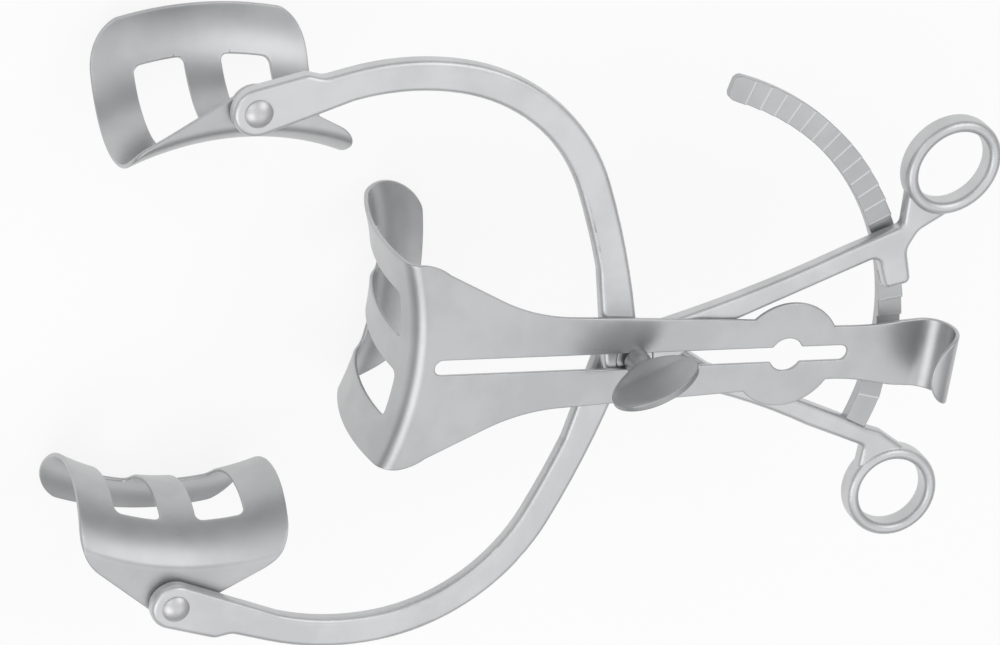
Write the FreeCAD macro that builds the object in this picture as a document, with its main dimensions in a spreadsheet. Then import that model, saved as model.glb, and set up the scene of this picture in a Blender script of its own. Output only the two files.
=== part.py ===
"""Self retaining abdominal retractor with two side blades, a sliding centre blade and a ratchet.

Frame: the origin is on the axis of the main joint, at the underside of the lower arm.
+X runs along the centre blade's bar towards the finger rings, +Y towards the upper side blade,
and +Z up, away from the patient, so the three blades hang towards -Z.
All sizes are millimetres and degrees.
"""
import FreeCAD, Part

import math
import os

import Sketcher

from FreeCAD import Placement, Rotation, Vector

SIZES = [
    # Arms, forged flat and laid one on the other
    ("arm_width", 16.4, "width of the curved arm"),
    ("arm_thickness", 8.5, "thickness of each forging"),
    ("arm_edge_round", 2.9, "rounding of the arm's long edges"),
    ("joint_gap", 0.2, "running gap between stacked faces at the joint"),
    ("arm_start_x", 7.3, "arm centre line starts this far left of the joint"),
    ("arm_start_y", 8.2, "and this far out from the bar axis"),
    ("arm_start_heading", 102.9, "heading of the arm as it leaves the joint"),
    ("arm_long_radius", 474.0, "first, nearly straight stretch"),
    ("arm_long_turn", 11.1, "its turn"),
    ("arm_main_radius", 104.0, "main bow"),
    ("arm_main_turn", 57.2, "its turn"),
    ("arm_outer_radius", 133.5, "bow before the tip"),
    ("arm_outer_turn", 24.8, "its turn"),
    ("upper_link_length", 47.5, "straight tip of the upper arm, to its rivet"),
    ("lower_link_length", 56.5, "straight tip of the lower arm, to its rivet"),
    ("tip_radius", 12.6, "round end of each arm, around the rivet"),
    ("tip_shoulder", 27.5, "from the rivet to the step where the tip narrows"),
    ("tip_step", 8.0, "length of that step"),
    ("tip_step_round", 8.0, "rounding of that step"),
    # Handles
    ("boss_radius", 16.5, "boss around the joint"),
    ("crotch_x", -0.6, "corner between arm and shank from the joint axis"),
    ("crotch_y", 15.2, "and its distance from the bar axis"),
    ("shank_width", 11.9, "width of the shank at the ratchet"),
    ("shank_flare_start", 122.0, "distance from the joint where the shank starts to widen"),
    ("shank_swell", 0.4, "extra half width half way along that flare"),
    ("shank_root", 50.0, "distance from the joint where the shank's other edge meets the boss"),
    ("shank_root_swell", 0.8, "extra half width there"),
    ("crotch_round", 9.0, "rounding between arm and shank"),
    ("neck_round", 3.2, "rounding where the ring's neck leaves the shank"),
    ("throat_round", 9.0, "rounding inside the neck"),
    ("upper_shank_angle", 23.4, "upper shank against the bar axis"),
    ("lower_shank_angle", 21.3, "lower shank against the bar axis"),
    ("upper_shank_lift", 3.2, "upper shank line's offset from the joint axis"),
    ("lower_shank_lift", -0.8, "lower shank line's offset from the joint axis"),
    ("ring_inner_long", 20.6, "finger ring opening, half its long axis"),
    ("ring_inner_short", 18.8, "finger ring opening, half its short axis"),
    ("ring_wall", 6.8, "radial thickness of the finger ring"),
    ("ring_height", 12.5, "height of the finger ring"),
    ("ring_round", 3.2, "rounding of the finger ring's edges"),
    ("ring_disc_radius", 23.6, "part of the shank forging inside the ring"),
    ("ring_land", 1.6, "how far that part reaches into the ring"),
    ("neck_outer", 22.4, "outer side of the neck left of the ring centre"),
    ("neck_inner_x", 12.4, "inner corner of the neck left of the ring centre"),
    ("neck_inner_y", 36.2, "and below it"),
    ("ring_axis_angle", 42.0, "long axis of the ring opening against the bar axis"),
    ("ring_beyond", 43.8, "ring centre beyond the ratchet's middle radius"),
    ("upper_ring_angle", 32.5, "upper ring centre against the bar axis"),
    ("lower_ring_angle", 28.2, "lower ring centre against the bar axis"),
    # Ratchet
    ("ratchet_radius", 148.8, "middle radius of the ratchet bar about the joint"),
    ("ratchet_width", 13.4, "width of the ratchet bar"),
    ("ratchet_bottom", 0.8, "underside of the ratchet bar"),
    ("ratchet_crest", 7.2, "height of the tooth crests"),
    ("tooth_depth", 1.9, "depth of the ratchet teeth"),
    ("tooth_pitch", 3.72, "angle between two teeth"),
    ("tooth_count", 23, "number of teeth"),
    ("ratchet_start", -20.4, "angle of the ratchet's root end, inside the lower shank"),
    ("tooth_start", -13.0, "angle of the first tooth crest"),
    ("ratchet_end", 74.5, "angle of the ratchet's free end"),
    ("catch_gap", 0.3, "catch tooth clear of the crests"),
    ("catch_width", 14.6, "width of the catch along the ratchet's radius"),
    ("catch_end_angle", 14.0, "angle of the catch's free end about the joint"),
    ("catch_round", 3.6, "rounding of the catch's free corners"),
    ("catch_root_round", 5.0, "rounding where the catch leaves the shank"),
    ("catch_side_round", 9.0, "rounding beside the ring's neck"),
    ("tooth_inset", 1.3, "catch tooth starts this many degrees inside the catch's free end"),
    # Joint stud, its nut and the wing nut
    ("stud_radius", 6.0, "journal through both arms"),
    ("stud_head_radius", 10.0, "flat head, sunk flush in the lower arm"),
    ("stud_head_height", 2.6, "height of that head"),
    ("pin_clearance", 0.05, "radial running clearance of pins"),
    ("seat_clearance", 0.25, "clearance round a sunk head"),
    ("thread_radius", 4.0, "threaded end of the stud"),
    ("joint_nut_radius", 10.0, "nut that keeps the arms on the stud"),
    ("joint_nut_height", 2.8, "height of that nut, flush with the upper arm"),
    ("nut_slot_width", 2.4, "spanner slot in the nut's rim"),
    ("nut_slot_depth", 1.3, "depth of that slot"),
    ("nut_slot_reach", 3.6, "reach of that slot from the rim"),
    ("hub_radius", 6.7, "hub of the wing nut"),
    ("hub_height", 13.0, "height of that hub"),
    ("wing_width", 47.0, "width of the wing's paddle"),
    ("wing_height", 33.0, "height of the wing's paddle"),
    ("wing_end_radius", 12.5, "rounding of the paddle's ends"),
    ("wing_thickness", 4.2, "thickness of the wing's paddle"),
    ("wing_turn", 28.0, "paddle against the bar axis"),
    ("wing_centre", 29.0, "paddle centre above the bar"),
    # Sheet parts
    ("sheet", 2.2, "thickness of the blade sheet"),
    ("slot_width", 8.5, "slot of the centre blade's bar"),
    ("slot_left", 110.0, "left end of the slot from the joint axis"),
    ("slot_right", 120.0, "right end of the slot from the joint axis"),
    ("keyhole_radius", 9.3, "keyhole in the slot"),
    ("keyhole_x", 85.0, "keyhole centre from the joint axis"),
    ("lobe_radius", 29.6, "round lobe around the keyhole"),
    ("bar_half_mid", 24.6, "half width of the bar at the joint"),
    ("bar_half_lobe", 20.6, "half width of the bar before the lobe"),
    ("bar_half_neck", 14.8, "half width of the bar after the lobe"),
    ("hook_half_width", 23.0, "half width of the thumb hook"),
    ("hook_root_half", 19.3, "half width where the hook leaves the bar"),
    ("hook_start", 148.0, "where the thumb hook starts to rise"),
    ("hook_radius", 24.0, "bend of the thumb hook"),
    ("hook_turn", 68.0, "turn of that bend"),
    ("hook_lip_radius", 5.0, "outward roll of the hook's lip"),
    ("hook_lip_turn", 75.0, "turn of that roll"),
    ("centre_bend_x", 113.5, "start of the centre blade's bend from the joint axis"),
    ("centre_width", 114.0, "width of the centre blade"),
    ("centre_plan_radius", 172.0, "curve of the centre blade's bend seen from above"),
    ("centre_bend_radius", 9.2, "outer radius of the centre blade's bend"),
    ("centre_bend_turn", 80.0, "turn of that bend"),
    ("centre_hollow_radius", 155.0, "hollow of the centre blade's wall"),
    ("centre_hollow_turn", 30.0, "its turn"),
    ("centre_lip_radius", 32.0, "curl of the centre blade's lip"),
    ("centre_lip_turn", 80.0, "its turn"),
    ("centre_corner", 27.0, "rounding of the centre blade's lip corners"),
    ("centre_window_start", 3.5, "centre window's first edge along the wall's arc"),
    ("centre_window_end", 23.0, "centre window's far edge along the wall's arc"),
    ("shoulder_length", 15.0, "round shoulder where the bar leaves the centre blade"),
    ("shoulder_drop", 5.8, "how far that shoulder narrows the bar on each side"),
    ("flare_x", 79.0, "end of the bar's straight flare from the joint axis"),
    ("flare_half", 36.4, "half width of the bar there"),
    ("waist_x", 40.0, "where the bar becomes nearly parallel"),
    ("waist_swell", 1.0, "extra half width there"),
    ("side_width", 111.5, "width of a side blade"),
    ("side_plan_radius", 150.0, "curve of a side blade's bend seen from above"),
    ("side_bend_radius", 9.0, "outer radius of a side blade's bend"),
    ("upper_bend_turn", 50.0, "bend of the upper blade's tongue"),
    ("lower_bend_turn", 33.0, "bend of the lower blade's tongue"),
    ("upper_blade_offset", 8.0, "rivet axis to the start of the upper blade's bend"),
    ("lower_blade_offset", 16.0, "rivet axis to the start of the lower blade's bend"),
    ("side_hollow_radius", 50.0, "hollow of a side blade from bend to lip"),
    ("side_hollow_turn", 126.0, "its turn"),
    ("side_corner", 22.0, "rounding of a side blade's lip corners"),
    ("side_shift", 3.0, "rivet hole off the blade's middle"),
    ("side_yaw", 4.0, "side blades as set on their rivets"),
    ("side_window_start", 28.0, "side window's first edge along the hollow's arc"),
    ("side_window_end", 95.5, "side window's far edge along the hollow's arc"),
    ("tongue_radius", 11.4, "round end of a side blade's tongue"),
    ("upper_tongue_flank", 30.0, "slope of the upper tongue's flanks"),
    ("lower_tongue_flank", 34.0, "slope of the lower tongue's flanks"),
    ("upper_tongue_corner", 15.0, "rounding where the upper tongue meets its blade's sides"),
    ("lower_tongue_corner", 28.0, "rounding where the lower tongue meets its blade's sides"),
    ("shoulder_depth", 20.0, "how far below the tongue that rounding reaches"),
    ("window_width", 25.3, "width of a blade window"),
    ("window_bar", 19.0, "bar between two windows"),
    ("window_corner", 3.6, "rounding of the window's corners"),
    # Side blade rivets
    ("rivet_radius", 4.0, "rivet shank"),
    ("rivet_head_radius", 7.0, "domed rivet head"),
    ("rivet_head_height", 3.2, "height of that head"),
    ("rivet_tail_radius", 5.4, "closed end of the rivet"),
    ("rivet_tail_height", 1.8, "height of the closed end"),
    ("washer_radius", 7.6, "washer under the closed end"),
    ("washer_height", 1.0, "thickness of that washer"),
]

doc = FreeCAD.newDocument("retractor")
sheet = doc.addObject("Spreadsheet::Sheet", "sizes")
for row, (alias, value, note) in enumerate(SIZES, 1):
    sheet.set("A%d" % row, alias)
    sheet.set("B%d" % row, str(value))
    sheet.set("C%d" % row, note)
    sheet.setAlias("B%d" % row, alias)
doc.recompute()


def size(alias):
    """One driving size, read from the sheet."""
    return float(sheet.get(alias))


def polar(radius, degrees, centre=(0.0, 0.0)):
    """A point at a distance and an angle from a centre."""
    turn = math.radians(degrees)
    return (centre[0] + radius * math.cos(turn), centre[1] + radius * math.sin(turn))


def flip(points, side):
    """The same outline steps for the upper arm (side 1) or mirrored for the lower one (side -1)."""
    if isinstance(points[0], (int, float)):
        return (points[0], side * points[1])
    return tuple(flip(point, side) for point in points)


def new_body(name):
    body = doc.addObject("PartDesign::Body", name)
    body.Label = name
    return body


def new_sketch(body, name, role="XY_Plane", height=None):
    """A sketch on one of the body's origin planes, raised by a height given as an expression."""
    sketch = body.newObject("Sketcher::SketchObject", body.Name + "_" + name)
    plane = [f for f in body.Origin.OriginFeatures if f.Role == role][0]
    sketch.AttachmentSupport = [(plane, "")]
    sketch.MapMode = "FlatFace"
    if height:
        sketch.setExpression("AttachmentOffset.Base.z", height)
    return sketch


def vector(point):
    return Vector(point[0], point[1], 0)


def draw(sketch, start, steps):
    """Closed outline: each step is an end point, or a point on an arc and the arc's end."""
    here = start
    for step in steps:
        if isinstance(step[0], tuple):
            through, end = step
            sketch.addGeometry(Part.ArcOfCircle(vector(here), vector(through), vector(end)))
        else:
            end = step
            sketch.addGeometry(Part.LineSegment(vector(here), vector(end)))
        here = end


def draw_circle(sketch, radius, x=None):
    """A circle on the sketch's own X axis, its radius and place bound to expressions."""
    number = sketch.addGeometry(Part.Circle(Vector(1, 0, 0), Vector(0, 0, 1), 1))
    bind = sketch.addConstraint(Sketcher.Constraint("Radius", number, 5.0))
    sketch.setExpression("Constraints[%d]" % bind, radius)
    if x is None:
        sketch.addConstraint(Sketcher.Constraint("Coincident", number, 3, -1, 1))
        return
    sketch.addConstraint(Sketcher.Constraint("PointOnObject", number, 3, -1))
    bind = sketch.addConstraint(Sketcher.Constraint("DistanceX", -1, 1, number, 3, 10.0))
    sketch.setExpression("Constraints[%d]" % bind, x)


def pad(body, sketch, length, both_ways=False, downwards=False):
    feature = body.newObject("PartDesign::Pad", sketch.Name + "_pad")
    feature.Profile = sketch
    feature.setExpression("Length", length)
    feature.Midplane = both_ways
    feature.Reversed = downwards
    sketch.Visibility = False
    doc.recompute()
    return feature


def pocket(body, sketch, depth=None, upwards=False):
    """Cuts the sketch out: right through both ways, or to a depth."""
    feature = body.newObject("PartDesign::Pocket", sketch.Name + "_cut")
    feature.Profile = sketch
    if depth is None:
        feature.Type = 1
        feature.Midplane = True
    else:
        feature.setExpression("Length", depth)
        feature.Reversed = upwards
    before = body.Shape.Volume
    doc.recompute()
    if body.Shape.Volume >= before - 0.01:
        raise RuntimeError(feature.Name + " cuts nothing")
    return feature


def fillet(body, wanted, radius):
    """Rounds the edges of the tip feature that a test picks."""
    base = body.Tip
    names = ["Edge%d" % i for i, edge in enumerate(base.Shape.Edges, 1) if wanted(edge)]
    feature = body.newObject("PartDesign::Fillet", base.Name + "_round")
    feature.Base = (base, names)
    feature.setExpression("Radius", radius)
    doc.recompute()
    if "Invalid" in feature.State or not names:
        raise RuntimeError("%s fails on %d edges" % (feature.Name, len(names)))
    return feature


def upright_at(point):
    """A test for the upright edge at a point of the outline."""
    def test(edge):
        box = edge.BoundBox
        near = abs(box.XMin - point[0]) < 0.05 and abs(box.YMin - point[1]) < 0.05
        return near and box.ZLength > 1.0 and box.XLength < 0.01
    return test


def level(edge, heights):
    """True for an edge that lies flat at one of the heights."""
    box = edge.BoundBox
    return any(abs(box.ZMin - z) < 0.01 and abs(box.ZMax - z) < 0.01 for z in heights)


def revolve_profile(name, start, steps):
    """A body turned about its own Z axis from a half profile on the XZ plane."""
    body = new_body(name)
    sketch = new_sketch(body, "profile", "XZ_Plane")
    draw(sketch, start, steps)
    turn = body.newObject("PartDesign::Revolution", name + "_turn")
    turn.Profile = sketch
    turn.ReferenceAxis = (sketch, ["V_Axis"])
    turn.Angle = 360
    doc.recompute()
    return body


# Heights of the stack at the joint, from the underside of the lower arm
THICK = size("arm_thickness")
GAP = size("joint_gap")
UPPER_BASE = THICK + GAP
BAR_BASE = UPPER_BASE + THICK + GAP
NUT_BASE = BAR_BASE + size("sheet")
UPPER_BASE_TEXT = "sizes.arm_thickness + sizes.joint_gap"
BAR_BASE_TEXT = "2 * (sizes.arm_thickness + sizes.joint_gap)"
ARMS = {
    "upper": {"side": 1, "base": UPPER_BASE, "base_text": UPPER_BASE_TEXT},
    "lower": {"side": -1, "base": 0.0, "base_text": "0 * sizes.arm_thickness"},
}


class Walker:
    """Walks along a centre line and remembers the points at both edges of a band."""

    def __init__(self, x, y, heading, width):
        self.x, self.y, self.heading, self.half = x, y, heading, width / 2
        self.left = [self.edge(1)]
        self.right = [self.edge(-1)]

    def edge(self, side):
        return polar(side * self.half, self.heading + 90, (self.x, self.y))

    def arc(self, radius, turn):
        """A left-hand arc: both edges get a point half way along and one at the end."""
        centre = polar(radius, self.heading + 90, (self.x, self.y))
        for part in (turn / 2, turn / 2):
            self.heading += part
            self.x, self.y = polar(radius, self.heading - 90, centre)
            self.left.append(self.edge(1))
            self.right.append(self.edge(-1))

    def line(self, length):
        self.x, self.y = polar(length, self.heading, (self.x, self.y))


def arm_line(which):
    """The arm's centre line from the joint to its rivet, drawn for the upper arm."""
    walk = Walker(-size("arm_start_x"), size("arm_start_y"), size("arm_start_heading"), size("arm_width"))
    walk.arc(size("arm_long_radius"), size("arm_long_turn") / 2)
    walk.arc(size("arm_long_radius"), size("arm_long_turn") / 2)
    walk.arc(size("arm_main_radius"), size("arm_main_turn"))
    walk.arc(size("arm_outer_radius"), size("arm_outer_turn"))
    walk.line(size(which + "_link_length"))
    return walk


def rivet_place(which):
    walk = arm_line(which)
    return flip((walk.x, walk.y), ARMS[which]["side"])


def ring_place(which):
    return polar(size("ratchet_radius") + size("ring_beyond"), size(which + "_ring_angle"))


def tangent_touch(centre, radius, outside, side):
    """Where a line from an outside point touches a circle."""
    gap_x, gap_y = outside[0] - centre[0], outside[1] - centre[1]
    distance = math.hypot(gap_x, gap_y)
    heading = math.degrees(math.atan2(gap_y, gap_x))
    return polar(radius, heading + side * math.degrees(math.acos(radius / distance)), centre)


def arm_outline(which):
    """One closed outline: bow, tip, crotch, shank, ring disc, neck, catch, joint boss."""
    walk = arm_line(which)
    pivot = (walk.x, walk.y)
    heading = walk.heading
    tip = size("tip_radius")

    def on_tip(along, across):
        return polar(across, heading - 90, polar(along, heading, pivot))

    angle = size(which + "_shank_angle")
    lift = (0.0, size(which + "_shank_lift"))

    def on_shank(along, across):
        return polar(across, angle + 90, polar(along, angle, lift))

    half = size("shank_width") / 2
    flare = size("shank_flare_start")
    ring = ring_place(which)
    disc = size("ring_disc_radius")

    def by_ring(along_x, along_y):
        return (ring[0] + along_x, ring[1] + along_y)

    neck_x = ring[0] - size("neck_outer")
    neck_along = (neck_x - lift[0] + half * math.sin(math.radians(angle))) / math.cos(math.radians(angle))
    neck = on_shank(neck_along, half)
    ring_left = tangent_touch(ring, disc, neck, -1)
    throat = by_ring(-size("neck_inner_x"), -size("neck_inner_y"))
    ring_right = tangent_touch(ring, disc, throat, 1)
    crotch = (size("crotch_x"), size("crotch_y"))
    inner = tangent_touch(pivot, tip, walk.left[8], -1)
    boss = size("boss_radius")
    root = on_shank(size("shank_root"), -half - size("shank_root_swell"))
    boss_right = tangent_touch((0.0, 0.0), boss, root, -1)
    boss_left = tangent_touch((0.0, 0.0), boss, walk.left[2], 1)
    step_high = on_tip(-size("tip_shoulder"), tip)
    step_low = on_tip(-size("tip_shoulder") - size("tip_step"), walk.half)
    steps = [
        walk.left[2],
        (walk.left[3], walk.left[4]),
        (walk.left[5], walk.left[6]),
        (walk.left[7], walk.left[8]),
        inner,
        (on_tip(tip * 0.6, -tip * 0.8), on_tip(tip, 0.0)),
        (on_tip(tip * 0.6, tip * 0.8), on_tip(0.0, tip)),
        step_high,
        step_low,
        walk.right[8],
        (walk.right[7], walk.right[6]),
        (walk.right[5], walk.right[4]),
        (walk.right[2], crotch),
        (on_shank(flare / 2, half + size("shank_swell")), on_shank(flare, half)),
        neck,
        ring_left,
        (polar(disc, 45, ring), ring_right),
        throat,
    ]
    catch, catch_corners = catch_steps(which, on_shank, half)
    steps += catch
    steps += [root, boss_right, (polar(boss, 250), boss_left)]
    corners = [(crotch, size("crotch_round")), (neck, size("neck_round")), (throat, size("throat_round"))]
    corners += [(step_high, size("tip_step_round")), (step_low, size("tip_step_round"))]
    corners += catch_corners
    return boss_left, steps, corners


def catch_steps(which, on_shank, half):
    """The upper arm's catch reaches over the ratchet; the lower shank has none."""
    radius, reach = size("ratchet_radius"), size("catch_width") / 2
    far = polar(radius + reach, size(which + "_shank_angle") - 2.0)
    if which == "lower":
        return [far, on_shank(radius - 10.0, -half)], []
    end = size("catch_end_angle")
    outer, inner = polar(radius + reach, end), polar(radius - reach, end)
    root = on_shank(radius - reach - 3.0, -half)
    free, side = size("catch_round"), size("catch_side_round")
    corners = [(outer, free), (inner, free), (root, size("catch_root_round")), (far, side)]
    return [far, outer, inner, root], corners


def cylinder(name, radius, height, place):
    """A plain cylinder, its radius and height given as expressions."""
    peg = doc.addObject("Part::Cylinder", name)
    peg.setExpression("Radius", radius)
    peg.setExpression("Height", height)
    peg.Placement = Placement(Vector(*place), Rotation())
    return peg


def rounded(base, name, picks):
    """Part fillet over the edges that each test picks, with that test's radius."""
    edges = []
    for wanted, radius in picks:
        found = [i for i, edge in enumerate(base.Shape.Edges, 1) if wanted(edge)]
        if not found:
            raise RuntimeError("%s: no edge for radius %g" % (name, radius))
        edges += [(i, radius, radius) for i in found]
    feature = doc.addObject("Part::Fillet", name)
    feature.Base = base
    feature.Edges = edges
    doc.recompute()
    return feature


def fuse(name, shapes):
    union = doc.addObject("Part::MultiFuse", name)
    union.Shapes = shapes
    doc.recompute()
    return union


def cut(name, base, tool):
    result = doc.addObject("Part::Cut", name)
    result.Base = base
    result.Tool = tool
    doc.recompute()
    return result


def arm_holes(which):
    """Joint bore with the sunk seat of its head or nut, rivet hole, and the middle of the ring disc."""
    base = ARMS[which]["base"]
    side = ARMS[which]["side"]
    rivet_x, rivet_y = rivet_place(which)
    ring_x, ring_y = flip(ring_place(which), side)
    seat_name = "stud_head" if which == "lower" else "joint_nut"
    seat_height = size(seat_name + "_height") + size("pin_clearance")
    seat_low = base + THICK - seat_height
    if which == "lower":
        seat_low = base - 1.0
        seat_height += 1.0
    seat_radius = "sizes.%s_radius + sizes.seat_clearance" % seat_name
    seat = cylinder(which + "_seat", seat_radius, str(seat_height), (0, 0, seat_low))
    bore = "sizes.stud_radius + sizes.pin_clearance"
    hole = "sizes.ring_disc_radius - sizes.ring_land"
    low, through = base - 1.0, "sizes.arm_thickness + 2"
    return fuse(which + "_holes", [
        seat,
        cylinder(which + "_bore", bore, through, (0, 0, low)),
        cylinder(which + "_rivet_hole", "sizes.rivet_radius", through, (rivet_x, rivet_y, low)),
        cylinder(which + "_ring_hole", hole, through, (ring_x, ring_y, low)),
    ])


def make_arm(which):
    """One forging: curved arm, joint boss, shank and finger ring."""
    side = ARMS[which]["side"]
    base = ARMS[which]["base"]
    bar = new_body(which + "_arm_bar")
    sketch = new_sketch(bar, "outline", "XY_Plane", ARMS[which]["base_text"])
    start, steps, corners = arm_outline(which)
    draw(sketch, flip(start, side), [flip(step, side) for step in steps])
    pad(bar, sketch, "sizes.arm_thickness")
    upright = [(upright_at(flip(spot, side)), radius) for spot, radius in corners]
    soft = rounded(bar, which + "_corners", upright)
    both = (base, base + THICK)
    smooth = rounded(soft, which + "_edges", [(lambda edge: level(edge, both), size("arm_edge_round"))])
    bored = cut(which + "_bored", smooth, arm_holes(which))
    shapes = [bored, make_ring(which)]
    if which == "upper":
        arm = fuse("upper_forging", shapes + [make_catch_tooth()])
    else:
        arm = cut("lower_mortised", fuse("lower_forging", shapes), ratchet_blank("ratchet_mortise"))
    arm.Label = which + "_arm"
    return arm


def make_ring(which):
    """Oval finger ring with rounded edges, centred on the thickness of its shank."""
    ring = new_body(which + "_arm_ring")
    inner_long, inner_short = size("ring_inner_long"), size("ring_inner_short")
    wall = size("ring_wall")
    sketch = new_sketch(ring, "outline", "XY_Plane")
    for grow in (0.0, wall):
        far = Vector(inner_long + grow, 0, 0)
        near = Vector(0, inner_short + grow, 0)
        sketch.addGeometry(Part.Ellipse(far, near, Vector(0, 0, 0)))
    pad(ring, sketch, "sizes.ring_height", True)
    faces = (size("ring_height") / 2, -size("ring_height") / 2)
    fillet(ring, lambda edge: level(edge, faces), "sizes.ring_round")
    side = ARMS[which]["side"]
    x, y = flip(ring_place(which), side)
    turn = Rotation(Vector(0, 0, 1), side * size("ring_axis_angle"))
    ring.Placement = Placement(Vector(x, y, ARMS[which]["base"] + THICK / 2), turn)
    return ring


def make_catch_tooth():
    """The ridge under the catch: one ratchet tooth, upside down."""
    tooth = new_body("catch_tooth")
    half = size("catch_width") / 2 - size("arm_edge_round")
    start = size("catch_end_angle")
    sketch = new_sketch(tooth, "outline", "XY_Plane", UPPER_BASE_TEXT + " + 1")
    inner, outer = size("ratchet_radius") - half, size("ratchet_radius") + half
    end = start + size("tooth_pitch") * 0.8
    start += size("tooth_inset")
    draw(sketch, polar(inner, start), [
        polar(outer, start), polar(outer, end), polar(inner, end), polar(inner, start),
    ])
    reach = " + 1 - sizes.ratchet_crest - sizes.catch_gap"
    pad(tooth, sketch, UPPER_BASE_TEXT + reach, False, True)
    return tooth


def ratchet_blank(name):
    """Plain curved bar about the joint axis, drawn from local angle zero at its first tooth."""
    body = new_body(name)
    middle, half = size("ratchet_radius"), size("ratchet_width") / 2
    start = size("ratchet_start") - size("tooth_start")
    end = size("ratchet_end") - size("tooth_start")
    centre_angle = (start + end) / 2
    inner, outer = middle - half, middle + half
    sketch = new_sketch(body, "outline", "XY_Plane", "sizes.ratchet_bottom")
    nose = polar(middle, end + math.degrees(half / middle))
    draw(sketch, polar(inner, start), [
        polar(outer, start),
        (polar(outer, centre_angle), polar(outer, end)),
        (nose, polar(inner, end)),
        (polar(inner, centre_angle), polar(inner, start)),
    ])
    pad(body, sketch, "sizes.ratchet_crest - sizes.ratchet_bottom")
    body.Placement = Placement(Vector(0, 0, 0), Rotation(Vector(0, 0, 1), size("tooth_start")))
    return body


def make_ratchet():
    """Curved bar with a sawtooth top, let into the lower shank and concentric with the joint."""
    crest, depth = size("ratchet_crest"), size("tooth_depth")
    pitch = math.radians(size("tooth_pitch")) * size("ratchet_radius")
    land = pitch * 0.06
    near = size("ratchet_radius") - size("ratchet_width")
    # One tooth space: the ramp rises towards the lower handle and the steep face looks at it
    ramp = [(land, crest), (pitch, crest - depth), (pitch, crest + 1.0), (land, crest + 1.0), (land, crest)]
    space = Part.Face(Part.makePolygon([Vector(near, y, z) for y, z in ramp]))
    space = space.extrude(Vector(2 * size("ratchet_width"), 0, 0))
    row = []
    for number in range(int(size("tooth_count"))):
        tooth = space.copy()
        tooth.rotate(Vector(0, 0, 0), Vector(0, 0, 1), size("tooth_start") + number * size("tooth_pitch"))
        row.append(tooth)
    spaces = doc.addObject("Part::Feature", "tooth_spaces")
    spaces.Shape = Part.makeCompound(row)
    return cut("ratchet_bar", ratchet_blank("ratchet_plain"), spaces)


def make_stud():
    """Flat head in the lower arm, journal through both arms, flats in the slot, thread above."""
    head, journal = size("stud_head_radius"), size("stud_radius")
    thread = size("thread_radius")
    head_top = size("stud_head_height")
    top = NUT_BASE + size("hub_height") - 3.0
    stud = revolve_profile("joint_stud", (0.0, 0.0), [
        (head, 0.0), (head, head_top), (journal, head_top),
        (journal, UPPER_BASE + THICK - size("joint_nut_height")),
        (thread, UPPER_BASE + THICK - size("joint_nut_height")),
        (thread, top - 0.8), (thread - 0.8, top), (0.0, top), (0.0, 0.0),
    ])
    return stud


def make_joint_nut():
    """Round nut sunk in the upper arm, which keeps the arms together when the wing nut is loose."""
    low = UPPER_BASE + THICK - size("joint_nut_height")
    high = UPPER_BASE + THICK
    bore, rim = size("thread_radius") + size("pin_clearance"), size("joint_nut_radius")
    disc = revolve_profile("nut_disc", (bore, low), [
        (rim, low), (rim, high - 0.4), (rim - 0.4, high), (bore, high), (bore, low),
    ])
    wide, deep, reach = size("nut_slot_width"), size("nut_slot_depth"), size("nut_slot_reach")
    slots = []
    for side in (1, -1):
        slot = doc.addObject("Part::Box", "nut_slot_%d" % len(slots))
        slot.Length, slot.Width, slot.Height = 2 * reach, wide, 2 * deep
        slot.Placement = Placement(Vector(side * rim - reach, -wide / 2, high - deep), Rotation())
        slots.append(slot)
    nut = cut("joint_nut", disc, fuse("nut_slots", slots))
    nut.Placement = Placement(Vector(0, 0, 0), Rotation(Vector(0, 0, 1), size("wing_turn") + 60))
    doc.recompute()
    return nut


def oval(half_wide, half_high, end_radius, middle):
    """Four tangent arcs: round ends left and right, flatter arcs above and below."""
    reach = half_wide - end_radius
    flat = (reach ** 2 + half_high ** 2 - end_radius ** 2) / (2 * (half_high - end_radius))
    unit = (reach / (flat - end_radius), (flat - half_high) / (flat - end_radius))
    x, y = reach + end_radius * unit[0], end_radius * unit[1]
    start = (x, middle + y)
    return start, [
        ((half_wide, middle), (x, middle - y)),
        ((0.0, middle - half_high), (-x, middle - y)),
        ((-half_wide, middle), (-x, middle + y)),
        ((0.0, middle + half_high), start),
    ]


def make_wing_nut():
    """Hub with a blind thread and a broad oval paddle that passes the slot edgewise."""
    low = NUT_BASE + 0.05
    hub, bore = size("hub_radius"), size("thread_radius") + size("pin_clearance")
    high = low + size("hub_height")
    depth = high - 2.0
    hub_body = revolve_profile("wing_hub", (bore, low), [
        (hub, low), (hub, low + 4.0), (hub - 1.2, high - 2.0), (hub - 3.0, high + 3.0),
        (0.0, high + 3.0), (0.0, depth), (bore, depth), (bore, low),
    ])
    paddle = new_body("wing_paddle")
    half_w, half_h = size("wing_width") / 2, size("wing_height") / 2
    sketch = new_sketch(paddle, "outline", "XZ_Plane")
    centre = NUT_BASE + size("wing_centre")
    draw(sketch, *oval(half_w, half_h, size("wing_end_radius"), centre))
    pad(paddle, sketch, "sizes.wing_thickness", True)
    half_t = size("wing_thickness") / 2
    fillet(paddle, lambda e: abs(abs(e.BoundBox.YMin) - half_t) < 0.01 and e.BoundBox.YLength < 0.01, "1.3")
    nut = fuse("wing_nut", [hub_body, paddle])
    nut.Placement = Placement(Vector(0, 0, 0), Rotation(Vector(0, 0, 1), size("wing_turn")))
    doc.recompute()
    return nut


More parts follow.
